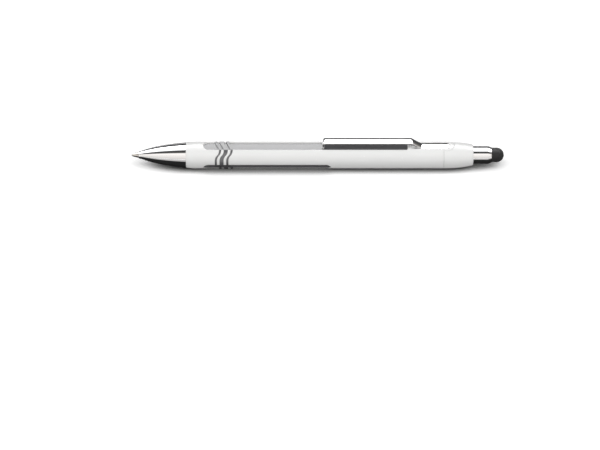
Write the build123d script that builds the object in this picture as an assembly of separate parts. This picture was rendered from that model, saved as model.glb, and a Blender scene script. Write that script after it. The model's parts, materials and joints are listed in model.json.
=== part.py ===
from build123d import *
import math
import os

# A push-button ballpoint pen with a rubber touch dome on its button, drawn with the point out.
# Millimetres. Stations run along the pen from the writing ball. X points at the dome and Z at
# the pocket clip. The pen lies on its barrel, with the origin on the table under its middle.

# Lengths along the pen
point_out = 2.8
nose_length = 18.55
cap_length = 11.5
button_out = 7.2
dome_out = 4.8
refill_length = 106.8
cam_setback = 1.88

# Clearances
running_gap = 0.06
sliding_gap = 0.1
parting_gap = 0.05
clip_gap = 0.12
overcut = 1.0
round_end_flat = 0.005

# Barrel
body_radius = 5.25
barrel_front_radius = 4.95
barrel_shoulder = 3.6
barrel_bore = 3.3
neck_length = 5.0
neck_wall = 0.8

# Channels, three round the barrel, and the grip inlay in them
channel_count = 3
channel_width = 4.4
channel_corner = 2.0
channel_end_corner = 0.5
channel_front_run = 6.65
side_channel_length = 49.7
clip_channel_end_gap = 1.4
channel_floor = 4.24
inlay_thickness = 0.36

# Wavy bands of the inlay: stations of their low points behind the barrel's front edge
band_stations = (11.6, 13.82, 16.06)
band_widths = (0.8, 1.55, 0.84)
band_rise = 1.7
band_depth = 0.4
band_fall_share = 0.62

# Nose cone
nose_rim_radius = 1.36
nose_bevel_radius = 1.6
nose_bevel_length = 1.1
nose_back_radius = 4.87
nose_front_slope = 0.37
nose_back_slope = 0.09
nose_land = 5.4
spigot_length = 6.0
spigot_wall = 0.95
thread_pitch = 0.75
thread_depth = 0.28

# Refill
ball_radius = 0.5
ball_showing = 0.3
ball_play = 0.01
socket_lip = 0.55
point_radius = 1.05
point_cone = 2.0
shank_radius = 0.6
holder_front_radius = 1.2
holder_collar = 1.0
holder_sleeve = 4.0
ink_passage = 0.3
refill_radius = 1.5
refill_bore = 1.0
ear_station = 22.3
ear_length = 0.8
ear_width = 1.7
ear_overlap = 0.3
ink_fill = 0.75
follower_length = 6.0
plug_length = 2.8
plug_flange = 1.0
plug_vent = 0.35

# Return spring, as the extended point squeezes it
spring_wire = 0.4
spring_mean_radius = 1.87
spring_turns = 9
spring_end_pitch = 0.95
spring_samples = 24

# Click mechanism
stroke = 5.5
overtravel = 1.0
cam_wall = 0.48
cam_rib = 0.6
groove_count = 4
groove_width = 1.3
ramp_depth = 0.9
collar_length = 1.4
flange_length = 0.8
flange_step = 0.2
cup_depth = 2.0
cup_gap = 0.08
lobe_length = 2.4
lobe_lead = 0.1
crown_bore = 0.9
crown_height = 0.8
crown_gap = 0.12
key_length = 2.0
key_lead = 0.3

# Button and stylus dome
button_radius = 3.45
button_wall = 0.4
button_end_radius = 3.0
button_chamfer = 1.4
button_lip = 0.45
button_lip_length = 1.3
dome_radius = 2.85
dome_wall = 0.8
dome_flange = 1.0
core_rod_depth = 11.6
core_front_gap = 0.45
core_wall_gap = 0.02

# End cap
cap_back_radius = 4.1
cap_straight = 1.5
cap_bevel = 0.25

# Pocket clip, one strip of sheet
clip_width = 3.3
clip_thickness = 0.9
clip_edge = 0.25
clip_leaf_top = 7.7
clip_root_top = 5.0
clip_lip_bottom = 5.8
clip_lip_bend = 0.9
clip_step_bend = 1.2
clip_bend_run = 0.5
clip_root_length = 10.4
clip_step_length = 3.9
clip_leaf_length = 34.7
clip_root_past_cap_line = 2.2
clip_pocket_lead = 0.5
tongue_margin = 0.8
tongue_past_clip = 1.9
tang_length = 1.2
tang_width = 1.6
tang_from_hinge = 1.2
tang_bite = 0.35

# Stations worked out from the lengths
nose_front = point_out
barrel_front = nose_front + nose_length
channel_front = barrel_front + channel_front_run

# Click mechanism stations, from the refill's rear end rearwards
lobe_front = refill_length + lobe_lead
lobe_back = lobe_front + lobe_length
cam_front = lobe_back - ramp_depth
crown_root = lobe_back + lobe_lead
plunger_front = crown_root + crown_gap
key_front = plunger_front + crown_height + key_lead
key_back = key_front + key_length
groove_back = key_back + stroke + sliding_gap
cam_back = groove_back + collar_length
cam_seat = cam_back - flange_length
button_front = cam_back + overtravel + sliding_gap

# Rear stations: the barrel is as long as the refill and the click mechanism need
barrel_back = cam_back + cam_setback
neck_back = barrel_back + neck_length
cap_back = barrel_back + cap_length
button_back = cap_back + button_out
pen_length = button_back + dome_out

# Click mechanism radii, from the barrel's bore inwards
cam_radius = barrel_bore - core_wall_gap
groove_radius = cam_radius - cam_wall
rib_radius = groove_radius - cam_rib
rod_radius = rib_radius - sliding_gap
lobe_radius = groove_radius - sliding_gap
cam_flange_radius = cam_radius + flange_step
lobe_width = groove_width - 2 * sliding_gap

# Button radii
cap_bore = button_radius + running_gap
rear_bore = max(button_radius, cam_flange_radius) + sliding_gap
neck_radius = rear_bore + neck_wall
button_bore = button_radius - button_wall
core_radius = button_bore - core_wall_gap

# Nose and refill radii
nose_hole = point_radius + running_gap
spring_radius = spring_mean_radius + spring_wire / 2
spring_pocket = spring_radius + sliding_gap
ear_radius = spring_radius + ear_overlap
spigot_bore = ear_radius + sliding_gap
spigot_radius = spigot_bore + spigot_wall
socket_radius = spigot_radius + running_gap
spigot_back = barrel_front + spigot_length
spring_seat = nose_front + nose_land
inlay_bottom = channel_floor - inlay_thickness
point_length = spring_seat + overtravel + sliding_gap
tube_front = point_length + holder_collar
ink_front = tube_front + holder_sleeve
plug_front = refill_length - plug_flange - plug_length
ink_length = ink_fill * (plug_front - ink_front)

# Clip stations, from the cap's parting line forwards
clip_back = barrel_back + clip_root_past_cap_line
clip_hinge = clip_back - clip_root_length
clip_step_back = clip_hinge - clip_bend_run
clip_step_front = clip_step_back - clip_step_length
clip_front = clip_step_front - clip_leaf_length
clip_channel_back = clip_step_front - clip_channel_end_gap
tongue_back = clip_back + tongue_past_clip
tongue_width = clip_width + 2 * tongue_margin
clip_pocket_front = clip_step_front - clip_pocket_lead
clip_pocket_floor = clip_root_top - clip_thickness - parting_gap
tang_front = clip_hinge + tang_from_hinge
tang_bottom = cam_radius - tang_bite


def rod(radius, start, end):
    """A round bar along the pen between two stations."""
    return extrude(Plane.YZ.offset(start) * Circle(radius), end - start)


def lathe(edges):
    """A closed outline of stations and radii, turned round the pen's axis."""
    return revolve(make_face(edges), Axis.X)


def turned(*points):
    """A straight-sided outline of stations and radii, turned round the pen's axis."""
    return lathe(Polyline(*points, close=True).edges())


def rolled(shape, angle):
    """A shape turned about the pen's axis, away from the clip."""
    return Rot(angle, 0, 0) * shape


def plank(start, end, width, bottom, top):
    """A straight-sided block over the pen's axis, between two stations and two heights."""
    block = Box(end - start, width, top - bottom)
    return Pos((start + end) / 2, 0, (bottom + top) / 2) * block


def rounded_plank(start, end, width, corner, bottom, top):
    """A block whose plan has rounded corners."""
    plan = RectangleRounded(end - start, width, corner)
    return extrude(Plane.XY.offset(bottom) * Pos((start + end) / 2, 0) * plan, top - bottom)


def wedge(tip, base, half_width, reach):
    """A radial V-block with its edge at one station and its open side at another."""
    outline = Polyline((tip, 0), (base, half_width), (base, -half_width), close=True)
    return extrude(make_face(outline), reach)


def channel_block(index, bottom):
    """The space of one channel, from a flat bottom out past the barrel's surface."""
    top = body_radius + overcut
    if index % channel_count:
        end = channel_front + side_channel_length
        block = rounded_plank(channel_front, end, channel_width, channel_corner, bottom, top)
    else:
        end = clip_channel_back
        block = rounded_plank(channel_front, end, channel_width, channel_corner, bottom, top)
        block += rounded_plank(end - channel_width, end, channel_width, channel_end_corner, bottom, top)
    return rolled(block, 360 / channel_count * index)


def band_block(low, width, near, far, rise_near, rise_far, bottom):
    """A band's S-shaped outline seen from above, raised through the barrel's surface."""
    left = low - width / 2
    start = (left + rise_near, near)
    end = (left + rise_far, far)
    bend = ((start[0] + end[0]) / 2, (near + far) / 2)
    overhang = body_radius * math.sin(math.pi / channel_count)
    edges = []
    for shift in (0, width):
        first = (start[0] + shift, near)
        last = (end[0] + shift, far)
        middle = (bend[0] + shift, bend[1])
        edges.append(Line((first[0], overhang), first))
        edges.append(TangentArc(first, middle, tangent=(0, -1)))
        edges.append(TangentArc(last, middle, tangent=(0, 1)))
        edges.append(Line(last, (last[0], -overhang)))
    edges.append(Line((start[0], overhang), (start[0] + width, overhang)))
    edges.append(Line((end[0], -overhang), (end[0] + width, -overhang)))
    return extrude(Plane.XY.offset(bottom) * make_face(edges), body_radius)


def face_bands(index):
    """The bands across one white face, flush with it and sunk by their depth."""
    half_face = math.pi / channel_count - math.asin(channel_width / 2 / body_radius)
    edge = body_radius * math.sin(half_face)
    fall_end = edge - 2 * edge * band_fall_share
    ring = rod(body_radius, barrel_front, barrel_back)
    ring -= rod(body_radius - band_depth, barrel_front, barrel_back)
    neighbours = [channel_block(index, inlay_bottom), channel_block(index + 1, inlay_bottom)]
    bands = []
    for station, width in zip(band_stations, band_widths):
        low = barrel_front + station
        block = band_block(low, width, edge, fall_end, band_rise, 0, 0)
        bands.append(rolled(block & ring, 360 / channel_count * (index + 0.5)) - neighbours)
    return bands


def channel_ridges(index):
    """The bands across one channel, flat ridges from its floor to its lips."""
    edge = channel_width / 2
    lip_height = math.sqrt(body_radius ** 2 - edge ** 2)
    walls = plank(barrel_front, barrel_back, channel_width, inlay_bottom, lip_height)
    ridges = []
    for station, width in zip(band_stations, band_widths):
        low = barrel_front + station
        block = band_block(low, width, edge, -edge, 0, band_rise, inlay_bottom)
        ridges.append(rolled(block & walls, 360 / channel_count * index))
    return ridges


def grip_inlay():
    """Grey second moulding: a strip in each channel, joined by the bands."""
    pieces = []
    for index in range(channel_count):
        above = plank(0, pen_length, 2 * body_radius, channel_floor, 2 * body_radius)
        pieces.append(channel_block(index, inlay_bottom) - rolled(above, 360 / channel_count * index))
        pieces += channel_ridges(index)
        pieces += face_bands(index)
    return pieces[0] + pieces[1:]


def cap_outline(start, inner):
    """The end cap's turned form from a station rearwards, down to an inner radius."""
    straight_end = barrel_back + cap_straight
    bevel_front = cap_back - cap_bevel
    edges = [
        Line((start, inner), (start, body_radius)),
        Line((start, body_radius), (straight_end, body_radius)),
        TangentArc((straight_end, body_radius), (bevel_front, cap_back_radius), tangent=(1, 0)),
        Line((bevel_front, cap_back_radius), (cap_back, cap_back_radius - cap_bevel)),
        Line((cap_back, cap_back_radius - cap_bevel), (cap_back, inner)),
        Line((cap_back, inner), (start, inner)),
    ]
    return lathe(edges)


def tongue_prism(margin):
    """The tongue's plan under the clip root, grown by a margin."""
    width = tongue_width + 2 * margin
    start = barrel_back - tongue_width
    corner = width / 2 - round_end_flat
    return rounded_plank(start, tongue_back + margin, width, corner, 0, body_radius + overcut)


def clip_pocket():
    """The recess for the clip root in the barrel and its tongue."""
    width = clip_width + 2 * clip_gap
    corner = clip_width / 2
    end = clip_back + clip_gap
    top = body_radius + overcut
    pocket = rounded_plank(clip_pocket_front, end, width, corner, clip_pocket_floor, top)
    return pocket + rounded_plank(
        clip_pocket_front, clip_hinge, width, channel_end_corner, clip_pocket_floor, top)


def tang_block(margin):
    """The clip's tang, grown by a margin, from the root plate down into the cam sleeve."""
    width = tang_width + 2 * margin
    end = tang_front + tang_length + margin
    top = clip_root_top - clip_thickness / 2
    return plank(tang_front - margin, end, width, tang_bottom - margin, top)


def barrel_shell():
    """White barrel: threaded front, channels, neck and tongue for the end cap, clip recess."""
    shoulder = barrel_front + barrel_shoulder
    edges = [
        Line((barrel_front, socket_radius), (barrel_front, barrel_front_radius)),
        TangentArc((shoulder, body_radius), (barrel_front, barrel_front_radius), tangent=(-1, 0)),
    ]
    corners = [
        (shoulder, body_radius),
        (barrel_back, body_radius),
        (barrel_back, neck_radius),
        (neck_back, neck_radius),
        (neck_back, rear_bore),
        (cam_seat, rear_bore),
        (cam_seat, barrel_bore),
        (spigot_back + sliding_gap, barrel_bore),
        (spigot_back + sliding_gap, socket_radius),
        (barrel_front, socket_radius),
    ]
    edges += [Line(a, b) for a, b in zip(corners, corners[1:])]
    shell = lathe(edges)
    shell += tongue_prism(0) & cap_outline(barrel_back, neck_radius - neck_wall / 2)
    for index in range(channel_count):
        shell -= channel_block(index, inlay_bottom)
        for band in face_bands(index):
            shell -= band
    shell -= clip_pocket()
    shell -= tang_block(sliding_gap)
    return shell


def end_cap():
    """White cap pressed on the barrel's neck, with a notch for the tongue."""
    cap = cap_outline(barrel_back + parting_gap, cap_bore)
    cap -= rod(neck_radius, barrel_back, neck_back + parting_gap)
    cap -= tongue_prism(parting_gap)
    return cap


def nose_cone():
    """Chromed ogive with a threaded spigot and the spring's pocket."""
    bevel_back = nose_front + nose_bevel_length
    third = (barrel_front - bevel_back) / 3
    front_handle = (bevel_back + third, nose_bevel_radius + third * nose_front_slope)
    back_handle = (barrel_front - third, nose_back_radius - third * nose_back_slope)
    pocket_back = ear_station - overtravel - ear_length
    outer_back = (barrel_front, nose_back_radius)
    corners = [outer_back, (barrel_front, spigot_radius - thread_depth)]
    turns = int((spigot_length - thread_pitch) / thread_pitch)
    for turn in range(turns):
        crest = barrel_front + (turn + 1) * thread_pitch
        corners.append((crest, spigot_radius))
        corners.append((crest + thread_pitch / 2, spigot_radius - thread_depth))
    corners += [
        (spigot_back, spigot_radius - thread_depth),
        (spigot_back, spigot_bore),
        (pocket_back, spigot_bore),
        (pocket_back - ear_overlap, spring_pocket),
        (spring_seat, spring_pocket),
        (spring_seat, nose_hole),
        (nose_front, nose_hole),
        (nose_front, nose_rim_radius),
        (bevel_back, nose_bevel_radius),
    ]
    edges = [Line(a, b) for a, b in zip(corners, corners[1:])]
    edges.append(Bezier(corners[-1], front_handle, back_handle, outer_back))
    return lathe(edges)


def writing_ball():
    """The ball that rolls the ink out."""
    return Pos(ball_radius, 0, 0) * Sphere(ball_radius)


def refill_point():
    """Metal tip with the ball's socket, and a shank for its holder."""
    point = turned(
        (ball_showing, 0),
        (ball_showing, socket_lip),
        (ball_showing + point_cone, point_radius),
        (point_length, point_radius),
        (point_length, shank_radius),
        (ink_front, shank_radius),
        (ink_front, 0),
    )
    point -= Pos(ball_radius, 0, 0) * Sphere(ball_radius + ball_play)
    return point - rod(ink_passage, ball_radius, ink_front)


def tip_holder():
    """Bush that joins the metal tip to the refill tube."""
    return turned(
        (point_length, shank_radius),
        (point_length, holder_front_radius),
        (tube_front, refill_radius),
        (tube_front, refill_bore),
        (ink_front, refill_bore),
        (ink_front, shank_radius),
    )


def refill_tube():
    """Plastic ink tube with the two ears that the spring pushes on."""
    tube = rod(refill_radius, tube_front, refill_length - plug_flange)
    tube -= rod(refill_bore, tube_front, refill_length - plug_flange)
    ears = plank(ear_station, ear_station + ear_length, ear_width, -ear_radius, ear_radius)
    ears &= rod(ear_radius, ear_station, ear_station + ear_length)
    return tube + (ears - rod(refill_radius, ear_station, ear_station + ear_length))


def ink_column():
    """The ink behind the point."""
    return rod(refill_bore, ink_front, ink_front + ink_length)


def ink_follower():
    """The grease that follows the ink down the tube."""
    start = ink_front + ink_length
    return rod(refill_bore, start, start + follower_length)


def refill_plug():
    """Vented plug in the refill's rear end."""
    flange_front = refill_length - plug_flange
    plug = rod(refill_bore, plug_front, flange_front)
    plug += rod(refill_radius, flange_front, refill_length)
    return plug - rod(plug_vent, plug_front, refill_length)


def spring_point(turn, start, end):
    """A point and a direction on the spring's wire, with closer turns at both ends."""
    middle_turns = spring_turns - 2
    middle_pitch = (end - start - 2 * spring_end_pitch) / middle_turns
    if turn <= 1:
        station = start + turn * spring_end_pitch
        pitch = spring_end_pitch if turn < 1 else (spring_end_pitch + middle_pitch) / 2
    elif turn < spring_turns - 1:
        station = start + spring_end_pitch + (turn - 1) * middle_pitch
        pitch = middle_pitch
    else:
        station = end - (spring_turns - turn) * spring_end_pitch
        pitch = spring_end_pitch if turn > spring_turns - 1 else (spring_end_pitch + middle_pitch) / 2
    angle = 2 * math.pi * turn
    place = Vector(station, spring_mean_radius * math.cos(angle), spring_mean_radius * math.sin(angle))
    girth = 2 * math.pi * spring_mean_radius
    heading = Vector(pitch, -girth * math.sin(angle), girth * math.cos(angle))
    return place, heading.normalized()


def biarc(start, start_heading, end, end_heading):
    """Two tangent arcs that leave one point and reach another along given headings."""
    span = end - start
    headings = start_heading + end_heading
    square = 2 * (1 - start_heading.dot(end_heading))
    slope = 2 * span.dot(headings)
    reach = (math.sqrt(slope * slope + 4 * square * span.dot(span)) - slope) / (2 * square)
    first_corner = start + start_heading * reach
    second_corner = end - end_heading * reach
    joint = (first_corner + second_corner) * 0.5
    joint_heading = (second_corner - first_corner).normalized()
    return [
        TangentArc(start, joint, tangent=start_heading),
        TangentArc(joint, end, tangent=joint_heading),
    ]


def return_spring():
    """Coil spring between the nose's seat and the refill's ears."""
    start = spring_seat + spring_wire / 2 + parting_gap
    end = ear_station - spring_wire / 2 - parting_gap
    stops = [spring_point(half / 2, start, end) for half in range(2 * spring_turns + 1)]
    arcs = []
    for (place, heading), (next_place, next_heading) in zip(stops, stops[1:]):
        arcs += biarc(place, heading, next_place, next_heading)
    wire = Wire(arcs)
    section = Plane(stops[0][0], z_dir=stops[0][1]) * Circle(spring_wire / 2)
    steps = range(spring_samples * spring_turns + 1)
    samples = [spring_point(step / spring_samples, start, end)[0] for step in steps]
    least = min(
        (samples[i] - samples[j]).length
        for i in steps
        for j in steps[i + spring_samples // 2:]
    )
    print("spring: least gap between turns", round(least - spring_wire, 3), "mm")
    return sweep(section, path=wire)


def groove_angles():
    """Roll angles of the cam grooves, which straddle the clip."""
    return [360 / groove_count * (index + 0.5) for index in range(groove_count)]


def spokes(width, radius, start, end):
    """Radial ribs on the groove angles, out to a radius."""
    ribs = []
    for angle in groove_angles():
        bar = plank(start, end, width, 0, radius + overcut)
        ribs.append(rolled(bar, angle) & rod(radius, start, end))
    return ribs


def cam_sleeve():
    """Grooved sleeve, with sawtooth ledges on its front end and a stop collar at its back."""
    sleeve = rod(cam_radius, cam_front, cam_back) + rod(cam_flange_radius, cam_seat, cam_back)
    sleeve -= rod(rib_radius, cam_front, cam_back)
    sleeve -= spokes(groove_width, groove_radius, cam_front, groove_back)
    half_rib = math.pi * rib_radius / groove_count
    ramp = make_face(Polyline(
        (cam_front, half_rib), (cam_front, 0), (cam_front + ramp_depth, 0), close=True))
    for angle in groove_angles():
        for shift in (0, half_rib):
            tooth = Pos(0, -shift, 0) * extrude(ramp, cam_radius + overcut)
            sleeve -= rolled(tooth, angle - 180 / groove_count) & rod(groove_radius, cam_front, cam_back)
    return sleeve - tang_block(sliding_gap)


def crown_notches(angle_shift, tip, base):
    """V-notches round a crown, two for each groove."""
    count = 2 * groove_count
    half_width = math.pi * rod_radius / count
    notch = wedge(tip, base, half_width, rod_radius + overcut)
    return [rolled(notch, 360 / count * (index + angle_shift)) for index in range(count)]


def cam_rotor():
    """Rotor that the refill's end seats in, with lobes for the grooves and a rear crown."""
    front = refill_length - cup_depth
    back = crown_root + crown_height
    rotor = rod(rod_radius, front, back)
    rotor -= rod(refill_radius + cup_gap, front, refill_length)
    rotor -= rod(crown_bore, refill_length + lobe_lead, back)
    lobes = spokes(lobe_width, lobe_radius, lobe_front, lobe_back)
    slope = wedge_ramp(lobe_back)
    for angle, lobe in zip(groove_angles(), lobes):
        rotor += lobe - rod(rod_radius - sliding_gap, lobe_front, lobe_back) - rolled(slope, angle)
    rotor -= crown_notches(0, crown_root, back)
    return rotor


def wedge_ramp(back):
    """The slanted rear face of a lobe, as the block that it is cut with."""
    outline = Polyline(
        (back - ramp_depth, lobe_width / 2),
        (back, lobe_width / 2),
        (back, -lobe_width / 2),
        close=True,
    )
    return Pos(0, 0, rod_radius) * extrude(make_face(outline), lobe_radius)


def plunger():
    """Keyed rod that pushes the rotor with its crown and carries the button."""
    back = button_front + core_front_gap + core_rod_depth
    pusher = rod(rod_radius, plunger_front, back)
    for key in spokes(lobe_width, lobe_radius, key_front, key_back):
        pusher += key - rod(rod_radius - sliding_gap, key_front, key_back)
    pusher -= rod(crown_bore, plunger_front, plunger_front + crown_height)
    pusher -= crown_notches(0.5, plunger_front + crown_height, plunger_front)
    return pusher


def button_sleeve():
    """Chromed tube with a drawn-in rear end that holds the dome's flange."""
    lip_front = button_back - button_lip_length
    lip_radius = dome_radius - button_lip + sliding_gap
    return turned(
        (button_front, button_bore),
        (button_front, button_radius),
        (button_back - button_chamfer, button_radius),
        (button_back, button_end_radius),
        (button_back, lip_radius),
        (lip_front, lip_radius),
        (lip_front, button_bore),
    )


def button_core():
    """Bush on the plunger's rod that carries the sleeve and the dome."""
    front = button_front + core_front_gap
    flange_front = button_back - button_lip_length - dome_flange
    post_radius = dome_radius - dome_wall - button_lip
    core = rod(core_radius, front, flange_front)
    core += rod(post_radius, flange_front, button_back)
    return core - rod(rod_radius, front, front + core_rod_depth)


def stylus_dome():
    """Hollow rubber dome with a neck and a flange inside the button."""
    flange_front = button_back - button_lip_length - dome_flange
    lip_front = flange_front + dome_flange
    neck = dome_radius - button_lip
    bore = neck - dome_wall
    round_front = pen_length - dome_radius
    inner_radius = dome_radius - dome_wall
    inner_end = pen_length - dome_wall
    corners = [
        (flange_front, bore),
        (flange_front, core_radius),
        (lip_front, core_radius),
        (lip_front, neck),
        (button_back, neck),
        (button_back, dome_radius),
        (round_front, dome_radius),
    ]
    inner = [
        (round_front, inner_radius),
        (button_back, inner_radius),
        (button_back, bore),
        (flange_front, bore),
    ]
    cosine = math.cos(math.pi / 4)
    outer_middle = (round_front + dome_radius * cosine, dome_radius * cosine)
    inner_middle = (round_front + inner_radius * cosine, inner_radius * cosine)
    edges = [Line(a, b) for a, b in zip(corners, corners[1:])]
    edges.append(ThreePointArc(corners[-1], outer_middle, (pen_length, 0)))
    edges.append(Line((pen_length, 0), (inner_end, 0)))
    edges.append(ThreePointArc((inner_end, 0), inner_middle, inner[0]))
    edges += [Line(a, b) for a, b in zip(inner, inner[1:])]
    return lathe(edges)


def clip_section(place, heading):
    """The strip's rounded section at a point of its centre line."""
    frame = Plane(place, x_dir=(0, 1, 0), z_dir=heading)
    return frame * RectangleRounded(clip_width, clip_thickness, clip_edge)


def clip_arm():
    """The springing part of the clip: lip, leaf and step, up to the bend at the root."""
    half = clip_thickness / 2
    leaf = clip_leaf_top - half
    root = clip_root_top - half
    route = FilletPolyline(
        (clip_front + half, 0, clip_lip_bottom),
        (clip_front + half, 0, leaf),
        (clip_step_front, 0, leaf),
        (clip_step_back, 0, root),
        (clip_hinge, 0, root),
        radius=(clip_lip_bend, clip_step_bend, clip_step_bend),
    )
    return sweep(clip_section(route @ 0, route % 0), path=route)


def clip_root():
    """The fixed end of the clip: a round-ended plate with a tang that locks the cam sleeve."""
    bottom = clip_root_top - clip_thickness
    start = clip_hinge - clip_width
    corner = clip_width / 2 - round_end_flat
    plate = rounded_plank(start, clip_back, clip_width, corner, bottom, clip_root_top)
    rims = plate.faces().sort_by(Axis.Z)
    plate = fillet(rims[0].edges() + rims[-1].edges(), clip_edge)
    plate &= plank(clip_hinge, clip_back + overcut, 2 * clip_width, 0, 2 * clip_root_top)
    return plate + tang_block(0)


subparts = {
    "nose_cone": nose_cone,
    "barrel_shell": barrel_shell,
    "grip_inlay": grip_inlay,
    "end_cap": end_cap,
    "clip_root": clip_root,
    "clip_arm": clip_arm,
    "cam_sleeve": cam_sleeve,
    "cam_rotor": cam_rotor,
    "plunger": plunger,
    "button_core": button_core,
    "button_sleeve": button_sleeve,
    "stylus_dome": stylus_dome,
    "return_spring": return_spring,
    "refill_tube": refill_tube,
    "tip_holder": tip_holder,
    "refill_point": refill_point,
    "writing_ball": writing_ball,
    "ink_column": ink_column,
    "ink_follower": ink_follower,
    "refill_plug": refill_plug,
}

os.makedirs("parts", exist_ok=True)
for name, make in subparts.items():
    placed = Pos(-pen_length / 2, 0, body_radius) * make()
    export_step(placed, f"parts/{name}.step")
print("pen length", round(pen_length, 3), "mm")
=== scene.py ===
"""A push-button ballpoint pen with a touch dome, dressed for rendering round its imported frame."""
import json
import math
from collections import namedtuple

import bmesh
import bpy
from bpy.props import FloatProperty, IntProperty, PointerProperty, StringProperty
from mathutils import Matrix, Vector


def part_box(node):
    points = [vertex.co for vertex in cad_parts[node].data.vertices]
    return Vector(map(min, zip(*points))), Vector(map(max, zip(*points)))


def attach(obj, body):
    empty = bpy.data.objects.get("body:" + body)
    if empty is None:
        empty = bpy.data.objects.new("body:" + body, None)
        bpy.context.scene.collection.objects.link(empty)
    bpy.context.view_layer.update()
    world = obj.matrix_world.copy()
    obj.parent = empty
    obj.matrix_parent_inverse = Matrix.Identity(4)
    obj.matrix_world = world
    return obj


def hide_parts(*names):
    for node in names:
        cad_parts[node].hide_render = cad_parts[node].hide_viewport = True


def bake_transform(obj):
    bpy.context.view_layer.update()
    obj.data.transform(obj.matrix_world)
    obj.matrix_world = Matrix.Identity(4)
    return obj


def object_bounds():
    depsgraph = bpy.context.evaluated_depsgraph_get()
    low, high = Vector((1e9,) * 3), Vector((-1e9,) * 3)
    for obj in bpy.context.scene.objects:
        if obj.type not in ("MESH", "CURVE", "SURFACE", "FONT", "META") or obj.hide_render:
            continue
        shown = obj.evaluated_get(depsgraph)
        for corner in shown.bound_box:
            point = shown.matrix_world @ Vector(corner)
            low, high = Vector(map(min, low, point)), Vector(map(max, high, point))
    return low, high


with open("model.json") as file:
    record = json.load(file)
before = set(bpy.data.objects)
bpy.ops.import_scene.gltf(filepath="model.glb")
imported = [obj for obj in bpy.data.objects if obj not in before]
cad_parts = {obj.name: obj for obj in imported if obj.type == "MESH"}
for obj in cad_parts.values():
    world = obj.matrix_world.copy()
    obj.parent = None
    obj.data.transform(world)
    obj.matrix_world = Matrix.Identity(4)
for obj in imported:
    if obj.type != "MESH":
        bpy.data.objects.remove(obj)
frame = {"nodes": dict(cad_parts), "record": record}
CAD_LOW, CAD_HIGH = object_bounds()

bl_info = {
    "name": "Stylus Pen",
    "version": (1, 0, 0),
    "blender": (4, 5, 0),
    "location": "3D View > Sidebar > Pen",
    "description": "Builds the pen's visible pieces, finishes and studio round the packed frame",
    "category": "Object",
}

MM = 0.001

# How finely the shapes are drawn, and how close points merge and how small faces go
LATHE_STEPS = 224
POINT_STEPS = 128
CURVE_STEPS = 40
FILLET_STEPS = 5
BEND_STEPS = 12
ROUND_END_STEPS = 24
CROWN_STEPS = 12
RIM_STEPS = 5
ROUTE_STEP = 0.8 * MM
BALL_DIVISIONS = 4
THREAD_STEPS, THREAD_SIDES = 72, 8
SPRING_STEPS, SPRING_SIDES = 64, 14
SHARP_ANGLE = math.radians(24)
MERGE_DISTANCE = 1e-8
FLAT_AREA = 1e-16


# Stations of the frame, along X from the writing ball, and the pen's axis

def ends(node):
    """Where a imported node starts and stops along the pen, from the writing ball."""
    low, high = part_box(node)
    return low.x - CAD_LOW.x, high.x - CAD_LOW.x


def girth(node):
    """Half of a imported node's size across the pen."""
    low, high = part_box(node)
    return (high.y - low.y) / 2


BODY_RADIUS = girth("barrel_shell")
AXIS = Vector((CAD_LOW.x, 0, CAD_LOW.z + BODY_RADIUS))
NOSE_FRONT, SPIGOT_BACK = ends("nose_cone")
BARREL_FRONT, NECK_BACK = ends("barrel_shell")
CHANNEL_FRONT, CLIP_CHANNEL_BACK = ends("grip_inlay")
CAP_FRONT, CAP_BACK = ends("end_cap")
BUTTON_FRONT, BUTTON_BACK = ends("button_sleeve")
DOME_FRONT, PEN_BACK = ends("stylus_dome")
CLIP_FRONT, CLIP_HINGE = ends("clip_arm")
CLIP_BACK = ends("clip_root")[1]
POINT_FRONT, POINT_BACK = ends("refill_point")
SPRING_FRONT, SPRING_BACK = ends("return_spring")
CAM_BACK = ends("cam_sleeve")[1]
BUTTON_RADIUS = girth("button_sleeve")
POINT_RADIUS = girth("refill_point")
SPRING_RADIUS = girth("return_spring")
CLIP_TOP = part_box("clip_arm")[1].z - AXIS.z
CLIP_LIP_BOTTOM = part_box("clip_arm")[0].z - AXIS.z


def length(name, default_mm, description):
    """A property for a size, given in millimetres and kept in metres."""
    return FloatProperty(
        name=name, description=description, default=default_mm * MM, precision=5, unit="LENGTH")


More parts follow.
